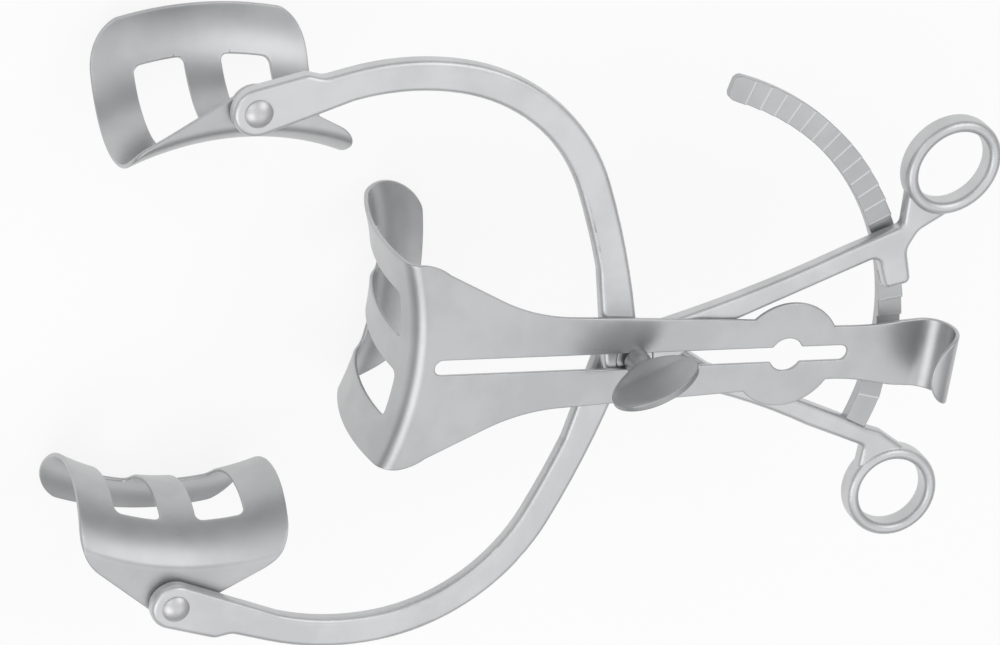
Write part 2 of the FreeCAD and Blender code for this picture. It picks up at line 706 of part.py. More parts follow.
def sheet_profile(start, heading, runs, thickness):
    """A bent sheet seen edge on: one face follows the runs, the other lies a thickness to its left."""
    x, y = start
    near = [start]
    steps_near, far_points = [], [polar(thickness, heading + 90, start)]
    for kind, amount, turn in runs:
        if kind == "line":
            x, y = polar(amount, heading, (x, y))
            steps_near.append((x, y))
            far_points.append((polar(thickness, heading + 90, (x, y)),))
        else:
            sign = 1 if turn > 0 else -1
            centre = polar(amount * sign, heading + 90, (x, y))
            spots = []
            for part in (turn / 2, turn / 2):
                heading += part
                x, y = polar(amount * sign, heading - 90, centre)
                spots.append(((x, y), polar(thickness, heading + 90, (x, y))))
            steps_near.append((spots[0][0], spots[1][0]))
            far_points.append((spots[0][1], spots[1][1]))
    steps = list(steps_near)
    steps.append(far_points[-1][-1])
    for index in range(len(far_points) - 1, 0, -1):
        before = far_points[index - 1]
        end = before if isinstance(before[0], float) else before[-1]
        spot = far_points[index]
        steps.append((spot[0], end) if len(spot) == 2 else end)
    steps.append(near[0])
    return start, steps


class Blade:
    """One sheet blade in its own frame: tongue towards +X, bend at start_x, hollow curling to +X."""

    def __init__(self, name, kind, start_x, top, bend_turn):
        self.name, self.start_x, self.top = name, start_x, top
        self.half = size(kind + "_width") / 2
        self.axis_x = start_x - size(kind + "_plan_radius")
        self.bends = [(size(kind + "_bend_radius"), bend_turn),
                      (size(kind + "_hollow_radius"), size(kind + "_hollow_turn"))]
        if kind == "centre":
            self.bends.append((size("centre_lip_radius"), size("centre_lip_turn")))
        self.corner = size(kind + "_corner")
        self.window = (size(kind + "_window_start"), size(kind + "_window_end"))

    def arcs(self):
        """Centre, radius, first heading and end point of each arc of the profile."""
        heading, spot = 180.0, (self.start_x, self.top)
        found = []
        for radius, turn in self.bends:
            centre = polar(radius, heading + 90, spot)
            spot = polar(radius, heading + turn - 90, centre)
            found.append((centre, radius, heading, spot))
            heading += turn
        return found

    def nearest(self):
        """Smallest distance of the wall from the blade's upright axis, where the profile is upright."""
        for number, (centre, radius, heading, end) in enumerate(self.arcs()):
            if heading + self.bends[number][1] >= 270.0:
                return centre[0] - radius - self.axis_x

    def bow(self, x, y):
        """The x of a point at y on the circle about the blade's upright axis that crosses y = 0 at x."""
        return self.axis_x + math.sqrt((x - self.axis_x) ** 2 - y ** 2)


def spin(blade, label, start, steps):
    """Turns a profile about the blade's upright axis, a little wider than the blade."""
    body = new_body(blade.name + "_" + label)
    sketch = new_sketch(body, "profile", "XZ_Plane")
    sketch.addGeometry(Part.LineSegment(Vector(blade.axis_x, 0, 0), Vector(blade.axis_x, 50, 0)), True)
    draw(sketch, start, steps)
    turn = body.newObject("PartDesign::Revolution", body.Name + "_spin")
    turn.Profile = sketch
    turn.ReferenceAxis = (sketch, ["Axis0"])
    turn.Angle = 2 * math.degrees(math.asin(blade.half / blade.nearest())) + 1.0
    turn.Midplane = True
    doc.recompute()
    return body


def blade_wall(blade):
    """Bend, hollow wall and lip in one sheet, with straight sides and round lip corners."""
    overlap = 0.6
    runs = [("line", overlap, 0.0)] + [("arc", radius, turn) for radius, turn in blade.bends]
    start, steps = sheet_profile((blade.start_x + overlap, blade.top), 180.0, runs, size("sheet"))
    body = spin(blade, "wall", start, steps)
    half, corner = blade.half, blade.corner
    lip_x = blade.arcs()[-1][3][0]
    side_x = blade.bow(lip_x, half) - corner
    front_y = half - corner
    front_x = blade.bow(lip_x, front_y) + 0.3
    slant = math.sqrt(0.5)
    bow_x, bow_y = side_x + (front_x - side_x) * slant, front_y + corner * slant
    back, front = blade.start_x - corner - half, front_x + half
    trim = new_body(blade.name + "_trim")
    sketch = new_sketch(trim, "outline", "XY_Plane")
    draw(sketch, (back, half), [
        (side_x, half), ((bow_x, bow_y), (front_x, front_y)), (front, front_y), (front, -front_y),
        (front_x, -front_y), ((bow_x, -bow_y), (side_x, -half)), (back, -half), (back, half),
    ])
    pad(trim, sketch, "8 * %s" % half, True)
    wall = doc.addObject("Part::Common", blade.name + "_trimmed")
    wall.Base = body
    wall.Tool = trim
    doc.recompute()
    return wall


def window_cutters(blade):
    """Two plugs with round corners that follow the hollow of the wall."""
    centre, radius, heading = blade.arcs()[1][:3]
    first, last = blade.window
    middle = (first + last) / 2
    spare = 1.5
    near, far = radius + spare, radius - size("sheet") - spare

    def on(reach, along):
        return polar(reach, heading - 90 + along, centre)

    band = spin(blade, "window_band", on(near, first), [
        (on(near, middle), on(near, last)), on(far, last), (on(far, middle), on(far, first)), on(near, first),
    ])
    plugs = []
    bar, wide, long = size("window_bar") / 2, size("window_width"), 3 * blade.half
    for low in (bar, -bar - wide):
        label = "%s_window_%d" % (blade.name, len(plugs))
        slab = doc.addObject("Part::Box", label + "_slab")
        slab.Length, slab.Width, slab.Height = 2 * long, wide, 2 * long
        slab.Placement = Placement(Vector(blade.start_x - long, low, blade.top - long), Rotation())
        block = doc.addObject("Part::Common", label)
        block.Base = band
        block.Tool = slab
        doc.recompute()
        through = size("sheet") + 2 * spare
        picks = [(lambda edge: edge.Length < through + 1.0, size("window_corner"))]
        plugs.append(rounded(block, label + "_plug", picks))
    return plugs


def make_centre_blade():
    """Blade, long slotted bar with its keyhole, and thumb hook, all from one sheet."""
    blade = Blade("centre", "centre", -size("centre_bend_x"), NUT_BASE, size("centre_bend_turn"))
    bar = new_body("centre_bar")
    plate = new_sketch(bar, "plate", "XY_Plane", BAR_BASE_TEXT)
    wide, edge_x = blade.half, blade.bow(blade.start_x, blade.half)
    lobe, key_x = size("lobe_radius"), size("keyhole_x")
    mid, before, neck = size("bar_half_mid"), size("bar_half_lobe"), size("bar_half_neck")
    lobe_left = key_x - math.sqrt(lobe ** 2 - before ** 2)
    lobe_right = key_x + math.sqrt(lobe ** 2 - neck ** 2)
    hook_x, hook_half = size("hook_start"), size("hook_root_half")
    length, drop = size("shoulder_length"), size("shoulder_drop")
    flare_x, flare_half = -size("flare_x"), size("flare_half")
    waist_x, waist_half = -size("waist_x"), mid + size("waist_swell")
    soft_x, soft_half = (flare_x + waist_x) / 2, (flare_half + waist_half) / 2 - 2.2
    neck_x, neck_half = (lobe_right + hook_x) / 2, neck + 0.5
    upper = [
        ((edge_x + length / 2, wide - drop * 0.28), (edge_x + length, wide - drop)),
        (flare_x, flare_half),
        ((soft_x, soft_half), (waist_x, waist_half)),
        (lobe_left, before),
        ((key_x, lobe), (lobe_right, neck)),
        ((neck_x, neck_half), (hook_x, hook_half)),
    ]
    lower = [
        ((neck_x, -neck_half), (lobe_right, -neck)),
        ((key_x, -lobe), (lobe_left, -before)),
        (waist_x, -waist_half),
        ((soft_x, -soft_half), (flare_x, -flare_half)),
        (edge_x + length, -wide + drop),
        ((edge_x + length / 2, -wide + drop * 0.28), (edge_x, -wide)),
        ((blade.start_x, 0.0), (edge_x, wide)),
    ]
    draw(plate, (edge_x, wide), upper + [(hook_x, -hook_half)] + lower)
    pad(bar, plate, "sizes.sheet")
    cut_slot(bar)
    hook = new_body("centre_hook")
    add_hook(hook, hook_x, hook_half)
    whole = fuse("centre_sheet", [blade_wall(blade), bar, hook])
    return cut("centre_blade", whole, fuse("centre_windows", window_cutters(blade)))


def cut_slot(body):
    """The slot rides on the stud; the keyhole lets the blade off over the wing nut's hub."""
    half = size("slot_width") / 2
    left, right = -size("slot_left"), size("slot_right")
    slot = new_sketch(body, "slot", "XY_Plane", BAR_BASE_TEXT + " + sizes.sheet")
    draw(slot, (left + half, half), [
        (right - half, half), ((right, 0.0), (right - half, -half)),
        (left + half, -half), ((left, 0.0), (left + half, half)),
    ])
    pocket(body, slot, "3 * sizes.sheet")
    keyhole = new_sketch(body, "keyhole", "XY_Plane", BAR_BASE_TEXT + " + sizes.sheet")
    draw_circle(keyhole, "sizes.keyhole_radius", "sizes.keyhole_x")
    pocket(body, keyhole, "3 * sizes.sheet")


def add_hook(body, hook_x, hook_half):
    """Thumb hook: the sheet rises from the bar and rolls outwards at its lip."""
    runs = [
        ("line", 1.0, 0.0),
        ("arc", size("hook_radius"), size("hook_turn")),
        ("arc", size("hook_lip_radius") + size("sheet"), -size("hook_lip_turn")),
    ]
    start, steps = sheet_profile((hook_x - 1.0, BAR_BASE), 0.0, runs, size("sheet"))
    sketch = new_sketch(body, "hook", "XZ_Plane")
    draw(sketch, start, steps)
    pad(body, sketch, "2 * sizes.hook_half_width", True)
    # The hook widens from the bar to its lip
    wide, end = size("hook_half_width"), hook_x + 2.5 * size("hook_radius")
    sides = new_sketch(body, "hook_sides", "XY_Plane", BAR_BASE_TEXT + " - 1")
    for side in (1, -1):
        draw(sides, (hook_x - 2.0, side * hook_half), [
            ((hook_x + 14.0, side * (hook_half + 0.75 * (wide - hook_half))),
             (hook_x + 30.0, side * (wide - 0.01))),
            (end, side * (wide - 0.01)), (end, side * (wide + 5)), (hook_x - 2.0, side * (wide + 5)),
            (hook_x - 2.0, side * hook_half),
        ])
    pocket(body, sides, "2.5 * sizes.hook_radius", True)


def shoulder_cutter(blade, eye, side):
    """What lies outside one flank of the tongue and the round corner between flank and blade side."""
    slope, corner = size(blade.name + "_tongue_flank"), size(blade.name + "_tongue_corner")
    touch = polar(size("tongue_radius"), side * (90 - slope), eye)
    wall_y = side * blade.half
    meet_x = touch[0] - abs(wall_y - touch[1]) * math.tan(math.radians(slope))
    back = corner * math.tan(math.radians(90 - slope) / 2)
    on_flank = polar(back, side * (slope - 90), (meet_x, wall_y))
    on_side = (meet_x - back, wall_y)
    middle = polar(corner, side * (90 - slope / 2), (on_side[0], wall_y - side * corner))
    clear_x, clear_y = touch[0] + corner, wall_y + side * corner
    body = new_body("%s_shoulder_%s" % (blade.name, "left" if side > 0 else "right"))
    sketch = new_sketch(body, "outline", "XY_Plane", "5")
    draw(sketch, touch, [
        on_flank, (middle, on_side), (on_side[0], clear_y), (clear_x, clear_y), (clear_x, touch[1]), touch,
    ])
    pad(body, sketch, "sizes.shoulder_depth + 5", False, True)
    return body


def make_side_blade(which):
    """Hollow blade with two windows, hung under the arm's tip by its flat tongue."""
    blade = Blade(which, "side", -size(which + "_blade_offset"), 0.0, size(which + "_bend_turn"))
    eye = (0.0, -size("side_shift"))
    tongue = new_body(which + "_tongue")
    sketch = new_sketch(tongue, "outline", "XY_Plane", "-sizes.sheet")
    half, edge_x = blade.half, blade.bow(blade.start_x, blade.half)
    reach = size("tongue_radius") * math.sin(math.radians(size(which + "_tongue_flank")))
    draw(sketch, (edge_x, half), [
        (reach, half), (reach, -half), (edge_x, -half), ((blade.start_x, 0.0), (edge_x, half)),
    ])
    pad(tongue, sketch, "sizes.sheet")
    nose = cylinder(which + "_nose", "sizes.tongue_radius", "sizes.sheet", (eye[0], eye[1], -size("sheet")))
    hole = cylinder(which + "_eye", "sizes.rivet_radius + sizes.pin_clearance", "10", (eye[0], eye[1], -5))
    whole = fuse(which + "_sheet", [blade_wall(blade), tongue, nose])
    shoulders = [shoulder_cutter(blade, eye, side) for side in (1, -1)]
    openings = fuse(which + "_openings", window_cutters(blade) + [hole] + shoulders)
    result = cut(which + "_side_blade", whole, openings)
    x, y = rivet_place(which)
    side = ARMS[which]["side"]
    turn = Rotation(Vector(0, 0, 1), side * (90.0 + size("side_yaw")))
    place = Vector(x, y, ARMS[which]["base"] - GAP) - turn.multVec(Vector(eye[0], eye[1], 0))
    result.Placement = Placement(place, turn)
    doc.recompute()
    return result


def dome_arc(rim, low, high):
    """A spherical cap's profile from its rim to its top: middle and end of the arc."""
    rise = high - low
    radius = (rim ** 2 + rise ** 2) / (2 * rise)
    half_angle = 90 - math.degrees(math.asin(rim / radius)) / 2
    return polar(radius, half_angle, (0.0, high - radius)), (0.0, high)


def make_rivet(which):
    """Domed head on the arm, closed end under the washer."""
    arm_low = ARMS[which]["base"]
    arm_high = arm_low + THICK
    tongue_low = arm_low - GAP - size("sheet")
    washer_low = tongue_low - size("pin_clearance") - size("washer_height")
    shank, head, tail = size("rivet_radius"), size("rivet_head_radius"), size("rivet_tail_radius")
    dome, stub = size("rivet_head_height"), size("rivet_tail_height")
    rivet = revolve_profile(which + "_rivet", (0.0, washer_low - stub), [
        (tail - 1.2, washer_low - stub), (tail, washer_low),
        (shank, washer_low), (shank, arm_high), (head, arm_high), (head, arm_high + 0.6),
        dome_arc(head, arm_high + 0.6, arm_high + dome),
        (0.0, washer_low - stub),
    ])
    x, y = rivet_place(which)
    rivet.Placement = Placement(Vector(x, y, 0), Rotation())
    washer_high = washer_low + size("washer_height")
    rim = size("washer_radius")
    washer = revolve_profile(which + "_rivet_washer", (shank, washer_low), [
        (rim, washer_low), (rim, washer_high), (shank, washer_high), (shank, washer_low),
    ])
    washer.Placement = Placement(Vector(x, y, 0), Rotation())
    return [rivet, washer]


upper_arm = make_arm("upper")
lower_arm = make_arm("lower")
pieces = [upper_arm, lower_arm, make_ratchet(), make_stud(), make_joint_nut(), make_wing_nut()]
pieces.append(make_centre_blade())
for arm_name in ARMS:
    pieces.append(make_side_blade(arm_name))
    pieces += make_rivet(arm_name)
doc.recompute()

for thing in doc.Objects:
    if "Invalid" in thing.State or "Error" in thing.State:
        raise RuntimeError("%s failed: %s" % (thing.Name, thing.State))
os.makedirs("parts", exist_ok=True)
for piece in pieces:
    shape = piece.Shape
    if shape.isNull() or not shape.isValid() or len(shape.Solids) != 1:
        raise RuntimeError("%s: null, not valid or %d solids" % (piece.Label, len(shape.Solids)))
    shape.exportStep("parts/%s.step" % piece.Label)
    box = shape.BoundBox
    print("%-20s %9.0f mm3  x %7.1f %7.1f  y %7.1f %7.1f  z %7.1f %7.1f" % (
        piece.Label, shape.Volume, box.XMin, box.XMax, box.YMin, box.YMax, box.ZMin, box.ZMax))
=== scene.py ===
# %% [markdown]
# # A self retaining retractor in satin steel
# The tool holds a wound open. Two bowed arms cross at one stud, a ratchet keeps them apart, and three
# bent sheet blades hang from them towards the patient. Every part is stainless steel, so this lesson
# is about one metal seen in many ways: forged and satin, sheet with polished edges, turned and threaded.
# The solid parts come ready made from the CAD frame, in metres and in place. The frame is loaded first.

# %% Load the frame
import math

import bpy
import numpy as np
from mathutils import Matrix, Vector
from mathutils.geometry import delaunay_2d_cdt


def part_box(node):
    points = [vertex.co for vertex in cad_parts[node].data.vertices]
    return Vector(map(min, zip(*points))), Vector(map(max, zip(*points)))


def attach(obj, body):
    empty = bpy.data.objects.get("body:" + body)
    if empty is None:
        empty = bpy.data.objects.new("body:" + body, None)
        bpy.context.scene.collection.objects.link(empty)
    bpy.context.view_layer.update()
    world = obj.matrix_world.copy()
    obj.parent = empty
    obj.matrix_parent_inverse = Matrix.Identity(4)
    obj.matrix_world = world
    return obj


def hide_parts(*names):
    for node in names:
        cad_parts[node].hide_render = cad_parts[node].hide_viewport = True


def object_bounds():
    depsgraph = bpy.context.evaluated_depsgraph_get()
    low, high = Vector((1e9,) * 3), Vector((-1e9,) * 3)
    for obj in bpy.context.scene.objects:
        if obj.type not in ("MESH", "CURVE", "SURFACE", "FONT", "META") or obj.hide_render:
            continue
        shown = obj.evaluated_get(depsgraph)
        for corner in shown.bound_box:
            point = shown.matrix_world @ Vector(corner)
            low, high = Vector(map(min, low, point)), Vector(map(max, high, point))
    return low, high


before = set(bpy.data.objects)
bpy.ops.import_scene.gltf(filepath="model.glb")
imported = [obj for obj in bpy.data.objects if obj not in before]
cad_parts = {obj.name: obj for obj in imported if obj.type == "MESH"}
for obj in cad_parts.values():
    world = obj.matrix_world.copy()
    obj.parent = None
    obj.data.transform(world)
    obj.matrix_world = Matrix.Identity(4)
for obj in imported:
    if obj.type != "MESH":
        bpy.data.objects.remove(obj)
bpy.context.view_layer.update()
MM = 0.001

# %% [markdown]
# ## A small language for shader maths
# A finish is worked out by many small nodes, and wiring them by hand hides the idea. Here a socket is
# wrapped in a class whose operators add Math nodes, so that a finish reads like the formula it is. One
# method makes every other node, for the materials and for the world alike.

# %% Shader maths as expressions
class Value:
    """One number that changes over a surface. Arithmetic on it adds Math nodes."""

    def __init__(self, book, socket):
        self.book, self.socket = book, socket

    def math(self, operation, other):
        return self.book.node("ShaderNodeMath", {"operation": operation}, {0: self, 1: other})

    def __add__(self, other):
        return self.math("ADD", other)

    def __sub__(self, other):
        return self.math("SUBTRACT", other)

    def __mul__(self, other):
        return self.math("MULTIPLY", other)

    def __rsub__(self, other):
        return (self * -1.0).math("ADD", other)

    __radd__, __rmul__ = __add__, __mul__

    def between(self, low, high):
        """0 below low, 1 above high, and a soft step between them."""
        settings = {"interpolation_type": "SMOOTHSTEP"}
        inputs = {"Value": self, "From Min": low, "From Max": high}
        return self.book.node("ShaderNodeMapRange", settings, inputs)


class NodeBook:
    """A node tree, with one method that makes every node."""

    def __init__(self, tree):
        self.nodes, self.links = tree.nodes, tree.links

    def node(self, kind, settings=None, inputs=None, output=0):
        """A node with its settings made first, then its sockets set or linked. Returns one output."""
        made = self.nodes.new(kind)
        for setting, wanted in (settings or {}).items():
            if setting == "stops":
                self.set_stops(made.color_ramp, wanted)
            else:
                setattr(made, setting, wanted)
        for place, wanted in (inputs or {}).items():
            self.feed(made.inputs[place], wanted)
        return Value(self, made.outputs[output])

    def set_stops(self, ramp, stops):
        """Gives a ramp its stops, each a place and a colour."""
        while len(ramp.elements) < len(stops):
            ramp.elements.new(0.5)
        for stop, (place, colour) in zip(ramp.elements, stops):
            stop.position, stop.color = place, colour

    def feed(self, socket, wanted):
        """Links a Value to a socket, or sets the socket to a constant."""
        if isinstance(wanted, Value):
            self.links.new(wanted.socket, socket)
        else:
            socket.default_value = wanted


class Finish(NodeBook):
    """A material on the Principled shader."""

    def __init__(self, name):
        self.material = bpy.data.materials.new(name)
        self.material.use_nodes = True
        super().__init__(self.material.node_tree)
        self.shader = self.nodes["Principled BSDF"]

    def set(self, **wanted):
        """Feeds the shader's own sockets, named with _ for a space."""
        for name, value in wanted.items():
            self.feed(self.shader.inputs[name.replace("_", " ")], value)

    def place(self, scale=(1.0, 1.0, 1.0), turn=0.0):
        """Object coordinates in metres, stretched and turned about Z."""
        here = self.node("ShaderNodeTexCoord", output="Object")
        return self.node("ShaderNodeMapping", inputs={
            "Vector": here, "Scale": scale, "Rotation": (0.0, 0.0, turn)})

    def noise(self, place, scale, detail=2.0, roughness=0.5):
        inputs = {"Vector": place, "Scale": scale, "Detail": detail, "Roughness": roughness}
        return self.node("ShaderNodeTexNoise", inputs=inputs)

    def mix(self, share, first, second):
        """A colour between two colours."""
        return self.node("ShaderNodeMix", {"data_type": "RGBA"}, {0: share, 6: first, 7: second}, 2)


# %% [markdown]
# ## Satin steel
# The steel is blasted with fine glass beads and lightly brushed, which gives a soft grey sheen with no
# mirror image. Three layers make it: slow clouds where the polishing wheel pressed more or less,
# a fine stretched grain along the part, and tiny pits. The clouds change colour and gloss,
# while grain and pits only tilt the normal by a hair. A few hairline scratches tell that it was used.
#
# The edges are rubbed round so that they don't cut, which draws a bright line round every forging, blade
# and window. A Bevel modifier would stumble over the small triangles of a CAD mesh. The Bevel node
# rounds the normal near an edge instead and needs no faces, and where its normal leaves the true one
# it also tells which spots are edge. There the roughness drops for the real polish, and the base colour
# is made brighter, which is a painted highlight.

# %% The steel finishes
# The third factor brightens the base colour at edges and tooth crests: a painted highlight.
DULLER, BRIGHTER, PAINTED_HIGHLIGHT = 0.93, 1.05, 1.35
BUMP_HEIGHT, CREST_BAND = 0.0002, (0.16, 0.04)


def shade(colour, times):
    """A colour made brighter or darker, with its alpha."""
    return tuple(min(part * times, 1.0) for part in colour) + (1.0,)


def satin_steel(name, colour, gloss, edge, grain_turn=0.0, grain_stretch=40.0, pits=0.06, grain=0.05,
                crest=None):
    """Metal whose roughness is gloss plus clouds and grain; edge is the radius of its edges in mm.
    At the edges the roughness drops for the polish and the base colour is painted brighter as a highlight.
    Where a crest height in mm is given, the same polish and painted highlight start just below that height."""
    finish = Finish(name)
    even = finish.place()
    stretched = finish.place((grain_stretch, 1.0, grain_stretch), grain_turn)
    clouds = finish.noise(even, 22.0, 3.0)
    patches = finish.noise(even, 75.0, 2.0)
    lines = finish.noise(stretched, 45.0, 4.0, 0.65)
    dots = finish.noise(even, 5200.0, 1.0)
    crossing = finish.place((4.0, 160.0, 40.0), grain_turn + 0.6)
    hairlines = finish.noise(crossing, 9.0, 3.0).between(0.66, 0.70)
    rounded = finish.node("ShaderNodeBevel", {"samples": 6}, {"Radius": edge * MM})
    flat = finish.node("ShaderNodeNewGeometry", output="True Normal")
    agree = finish.node("ShaderNodeVectorMath", {"operation": "DOT_PRODUCT"}, {0: rounded, 1: flat}, "Value")
    # Edge mask: it lowers the roughness for the real polish and brightens the base colour, which is a painted
    # highlight; at the teeth it also takes in a band just below the crest height.
    polish_and_highlight = (1.0 - agree).between(0.02, 0.25)
    if crest is not None:
        height = finish.node("ShaderNodeSeparateXYZ", inputs={0: even}, output="Z")
        low, high = ((crest - below) * MM for below in CREST_BAND)
        polish_and_highlight = polish_and_highlight.math("MAXIMUM", height.between(low, high))
    share = (clouds * 0.7 + patches * 0.3).between(0.36, 0.64)
    body = finish.mix(share, shade(colour, DULLER), shade(colour, BRIGHTER))
    relief = lines * grain + dots * pits - hairlines * 0.03
    # Base colour: random clouds of tone, and at edges and crests a painted highlight.
    finish.set(
        Base_Color=finish.mix(polish_and_highlight * 0.8, body, shade(colour, PAINTED_HIGHLIGHT)), Metallic=1.0,
        Roughness=(clouds - 0.5) * 0.10 + (lines - 0.5) * 0.10 + gloss - hairlines * 0.07 - polish_and_highlight * 0.08,
        Normal=finish.node("ShaderNodeBump", inputs={
            "Height": relief, "Distance": BUMP_HEIGHT, "Normal": rounded}))
    return finish.material


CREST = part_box("ratchet_bar")[1][2] / MM
forged = satin_steel("forged_satin", (0.62, 0.625, 0.63), 0.39, 0.95)
sheet = satin_steel("sheet_satin", (0.505, 0.51, 0.515), 0.36, 0.5, grain_turn=1.57, grain=0.035)
# The crest height gives the tooth tops the painted highlight band and lower roughness for the catch's polish.
toothed = satin_steel("ratchet_satin", (0.50, 0.505, 0.51), 0.40, 0.35, grain_turn=0.8, grain_stretch=25.0,
                      crest=CREST)
turned = satin_steel("turned_satin", (0.60, 0.60, 0.605), 0.38, 0.3, pits=0.02, grain=0.03)
winged = satin_steel("wing_satin", (0.41, 0.415, 0.42), 0.38, 0.5, grain_turn=0.5, grain=0.06)
print("finishes:", [m.name for m in (forged, sheet, toothed, turned, winged)])

# %% [markdown]
# ## The pieces that keep their CAD mesh
# The arms are forgings with their boss, shank and ring. Their CAD meshes have the right shape from
# every side, so they stay and get a finish. So do the rivets with their washers and the nut sunk in
# the upper arm.

# %% Coat the CAD pieces
def coat(node, material):
    """Gives a CAD node a finish and leaves its mesh alone."""
    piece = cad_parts[node]
    for slot in piece.material_slots:
        slot.material = material
    if not piece.material_slots:
        piece.data.materials.append(material)


COATS = {
    "upper_arm": forged, "lower_arm": forged,
    "upper_rivet": turned, "lower_rivet": turned, "joint_nut": turned,
    "upper_rivet_washer": turned, "lower_rivet_washer": turned}
for node, material in COATS.items():
    coat(node, material)
    print(node, "wears", material.name)

# %% [markdown]
# ## Grids of points
# New pieces are surfaces: a grid of points worked out as whole arrays, one array index for each of two
# parameters. One function turns any such grid into a mesh, closed round one way and capped at both ends.

# %% From a grid to a mesh
def grid_piece(name, points, material, body, crease=42.0):
    """points[i, j] runs along the piece with i and once round it with j. Ends are closed by fans.
    Edges sharper than crease degrees stay sharp."""
    rows, around = points.shape[:2]
    ends = np.stack([points[0].mean(axis=0), points[-1].mean(axis=0)])
    corners = np.concatenate([points.reshape(-1, 3), ends])
    i, j = np.meshgrid(np.arange(rows - 1), np.arange(around), indexing="ij")
    nxt = (j + 1) % around
    quads = np.stack([i * around + j, i * around + nxt, (i + 1) * around + nxt, (i + 1) * around + j], -1)
    ring = np.arange(around)
    after = (ring + 1) % around
    first = np.stack([np.full(around, rows * around), after, ring], -1)
    base = (rows - 1) * around
    last = np.stack([np.full(around, rows * around + 1), base + ring, base + after], -1)
    mesh = bpy.data.meshes.new(name)
    mesh.from_pydata(corners.tolist(), [], quads.reshape(-1, 4).tolist() + first.tolist() + last.tolist())
    mesh.polygons.foreach_set("use_smooth", [True] * len(mesh.polygons))
    mesh.set_sharp_from_angle(angle=math.radians(crease))
    mesh.materials.append(material)
    piece = bpy.data.objects.new(name, mesh)
    bpy.context.scene.collection.objects.link(piece)
    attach(piece, body)
    print(name, "has", len(mesh.polygons), "faces")
    return piece


# %% [markdown]
# ## The ratchet
# The ratchet is a flat bar bent to a circle about the joint, with slanting teeth milled across its top.
# The catch rides up each slope and drops behind its crest. The piece is one section carried along an arc:
# each angle has a half width and a top height. The crests are polished by the catch, which lowers their
# roughness, and their base colour is painted brighter as a highlight.

# %% Ratchet
TEETH, FIRST_TOOTH, TOOTH_PITCH, TOOTH_DEPTH, LAND = 23, -13.0, 3.72, 1.9, 0.06
ARC_RADIUS, ARC_HALF, ARC_FLOOR, ARC_START, ARC_END = 148.8, 6.7, 0.8, -20.4, 76.6
END_ROUND, END_FALL, EDGE_CUT = 3.4, 2.4, 0.35
ROOT_DROP, NOSE_DROP, NOSE_GAP = 0.4, 0.2, 0.4


def tooth_profile():
    """Angles and heights: each tooth is a short crest, a slope down and a steep step up again. Past the last
    crest the height falls with the 1.5th power of the way to the free end."""
    starts = FIRST_TOOTH + TOOTH_PITCH * np.arange(TEETH + 1)
    turns = np.array([0.0, 0.02, LAND * TOOTH_PITCH, TOOTH_PITCH - 0.03])
    drops = np.array([0.08, 0.0, 0.0, TOOTH_DEPTH])
    angles = (starts[:, None] + turns).ravel()[:-1]
    falls = np.tile(drops, TEETH + 1)[:-1]
    fall, nose = np.linspace(0.0, 1.0, 14), starts[-1] + NOSE_GAP
    angles = np.concatenate([[ARC_START, FIRST_TOOTH - 0.01], angles, nose + (ARC_END - nose) * fall])
    falls = np.concatenate([[ROOT_DROP, ROOT_DROP], falls, NOSE_DROP + END_FALL * fall ** 1.5])
    return np.stack([angles, CREST - falls], -1)


def ratchet_points():
    """The section is a rectangle with cut edges; near the free end its half width follows a quarter circle.
    Angles between the teeth's own are filled in, so that the arc stays round."""
    profile = tooth_profile()
    fill = np.arange(ARC_START, ARC_END, 0.62)
    apart = np.abs(fill[:, None] - profile[None, :, 0]).min(axis=1) > 0.12
    quarter = np.radians(np.linspace(0, 90, 10))
    tail = ARC_END - np.degrees(END_ROUND * (1 - np.cos(quarter))) / ARC_RADIUS
    angle = np.unique(np.concatenate([profile[:, 0], fill[apart & (fill < tail.min())], tail]))
    top = np.interp(angle, profile[:, 0], profile[:, 1])
    to_end = np.radians(ARC_END - angle) * ARC_RADIUS
    missing = np.clip(END_ROUND - to_end, 0, END_ROUND)
    half = ARC_HALF - (END_ROUND - np.sqrt(END_ROUND ** 2 - missing ** 2))
    low, cut = np.full_like(top, ARC_FLOOR), EDGE_CUT
    radius = ARC_RADIUS + np.stack(
        [-half, -half, cut - half, half - cut, half, half, half - cut, cut - half], -1)
    z = np.stack([low + cut, top - cut, top, top, top - cut, low + cut, low, low], -1)
    turn = np.radians(angle)[:, None]
    return np.stack([radius * np.cos(turn), radius * np.sin(turn), z], -1) * MM


ratchet = grid_piece("toothed_arc", ratchet_points(), toothed, "lower_arm", crease=8.0)
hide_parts("ratchet_bar")

# %% [markdown]
# ## The stud and its thread
# The stud is turned on a lathe: a flat head, a smooth journal through both arms and a thread that
# passes the slot of the blade's bar. A lathe shape is a radius for each height. The thread adds a ridge
# that climbs one pitch each turn, so its height on the wall depends on the angle too.

# %% Stud
stud_low, stud_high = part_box("joint_stud")
HEAD_RADIUS, JOURNAL_RADIUS, THREAD_RADIUS = 10.0, 6.0, 4.0
HEAD_HEIGHT, THREAD_START, PITCH, THREAD_DEPTH = 2.6, 14.4, 1.25, 0.65
HEAD_CUT, TIP_CUT, STEP = 0.3, 0.8, 0.02


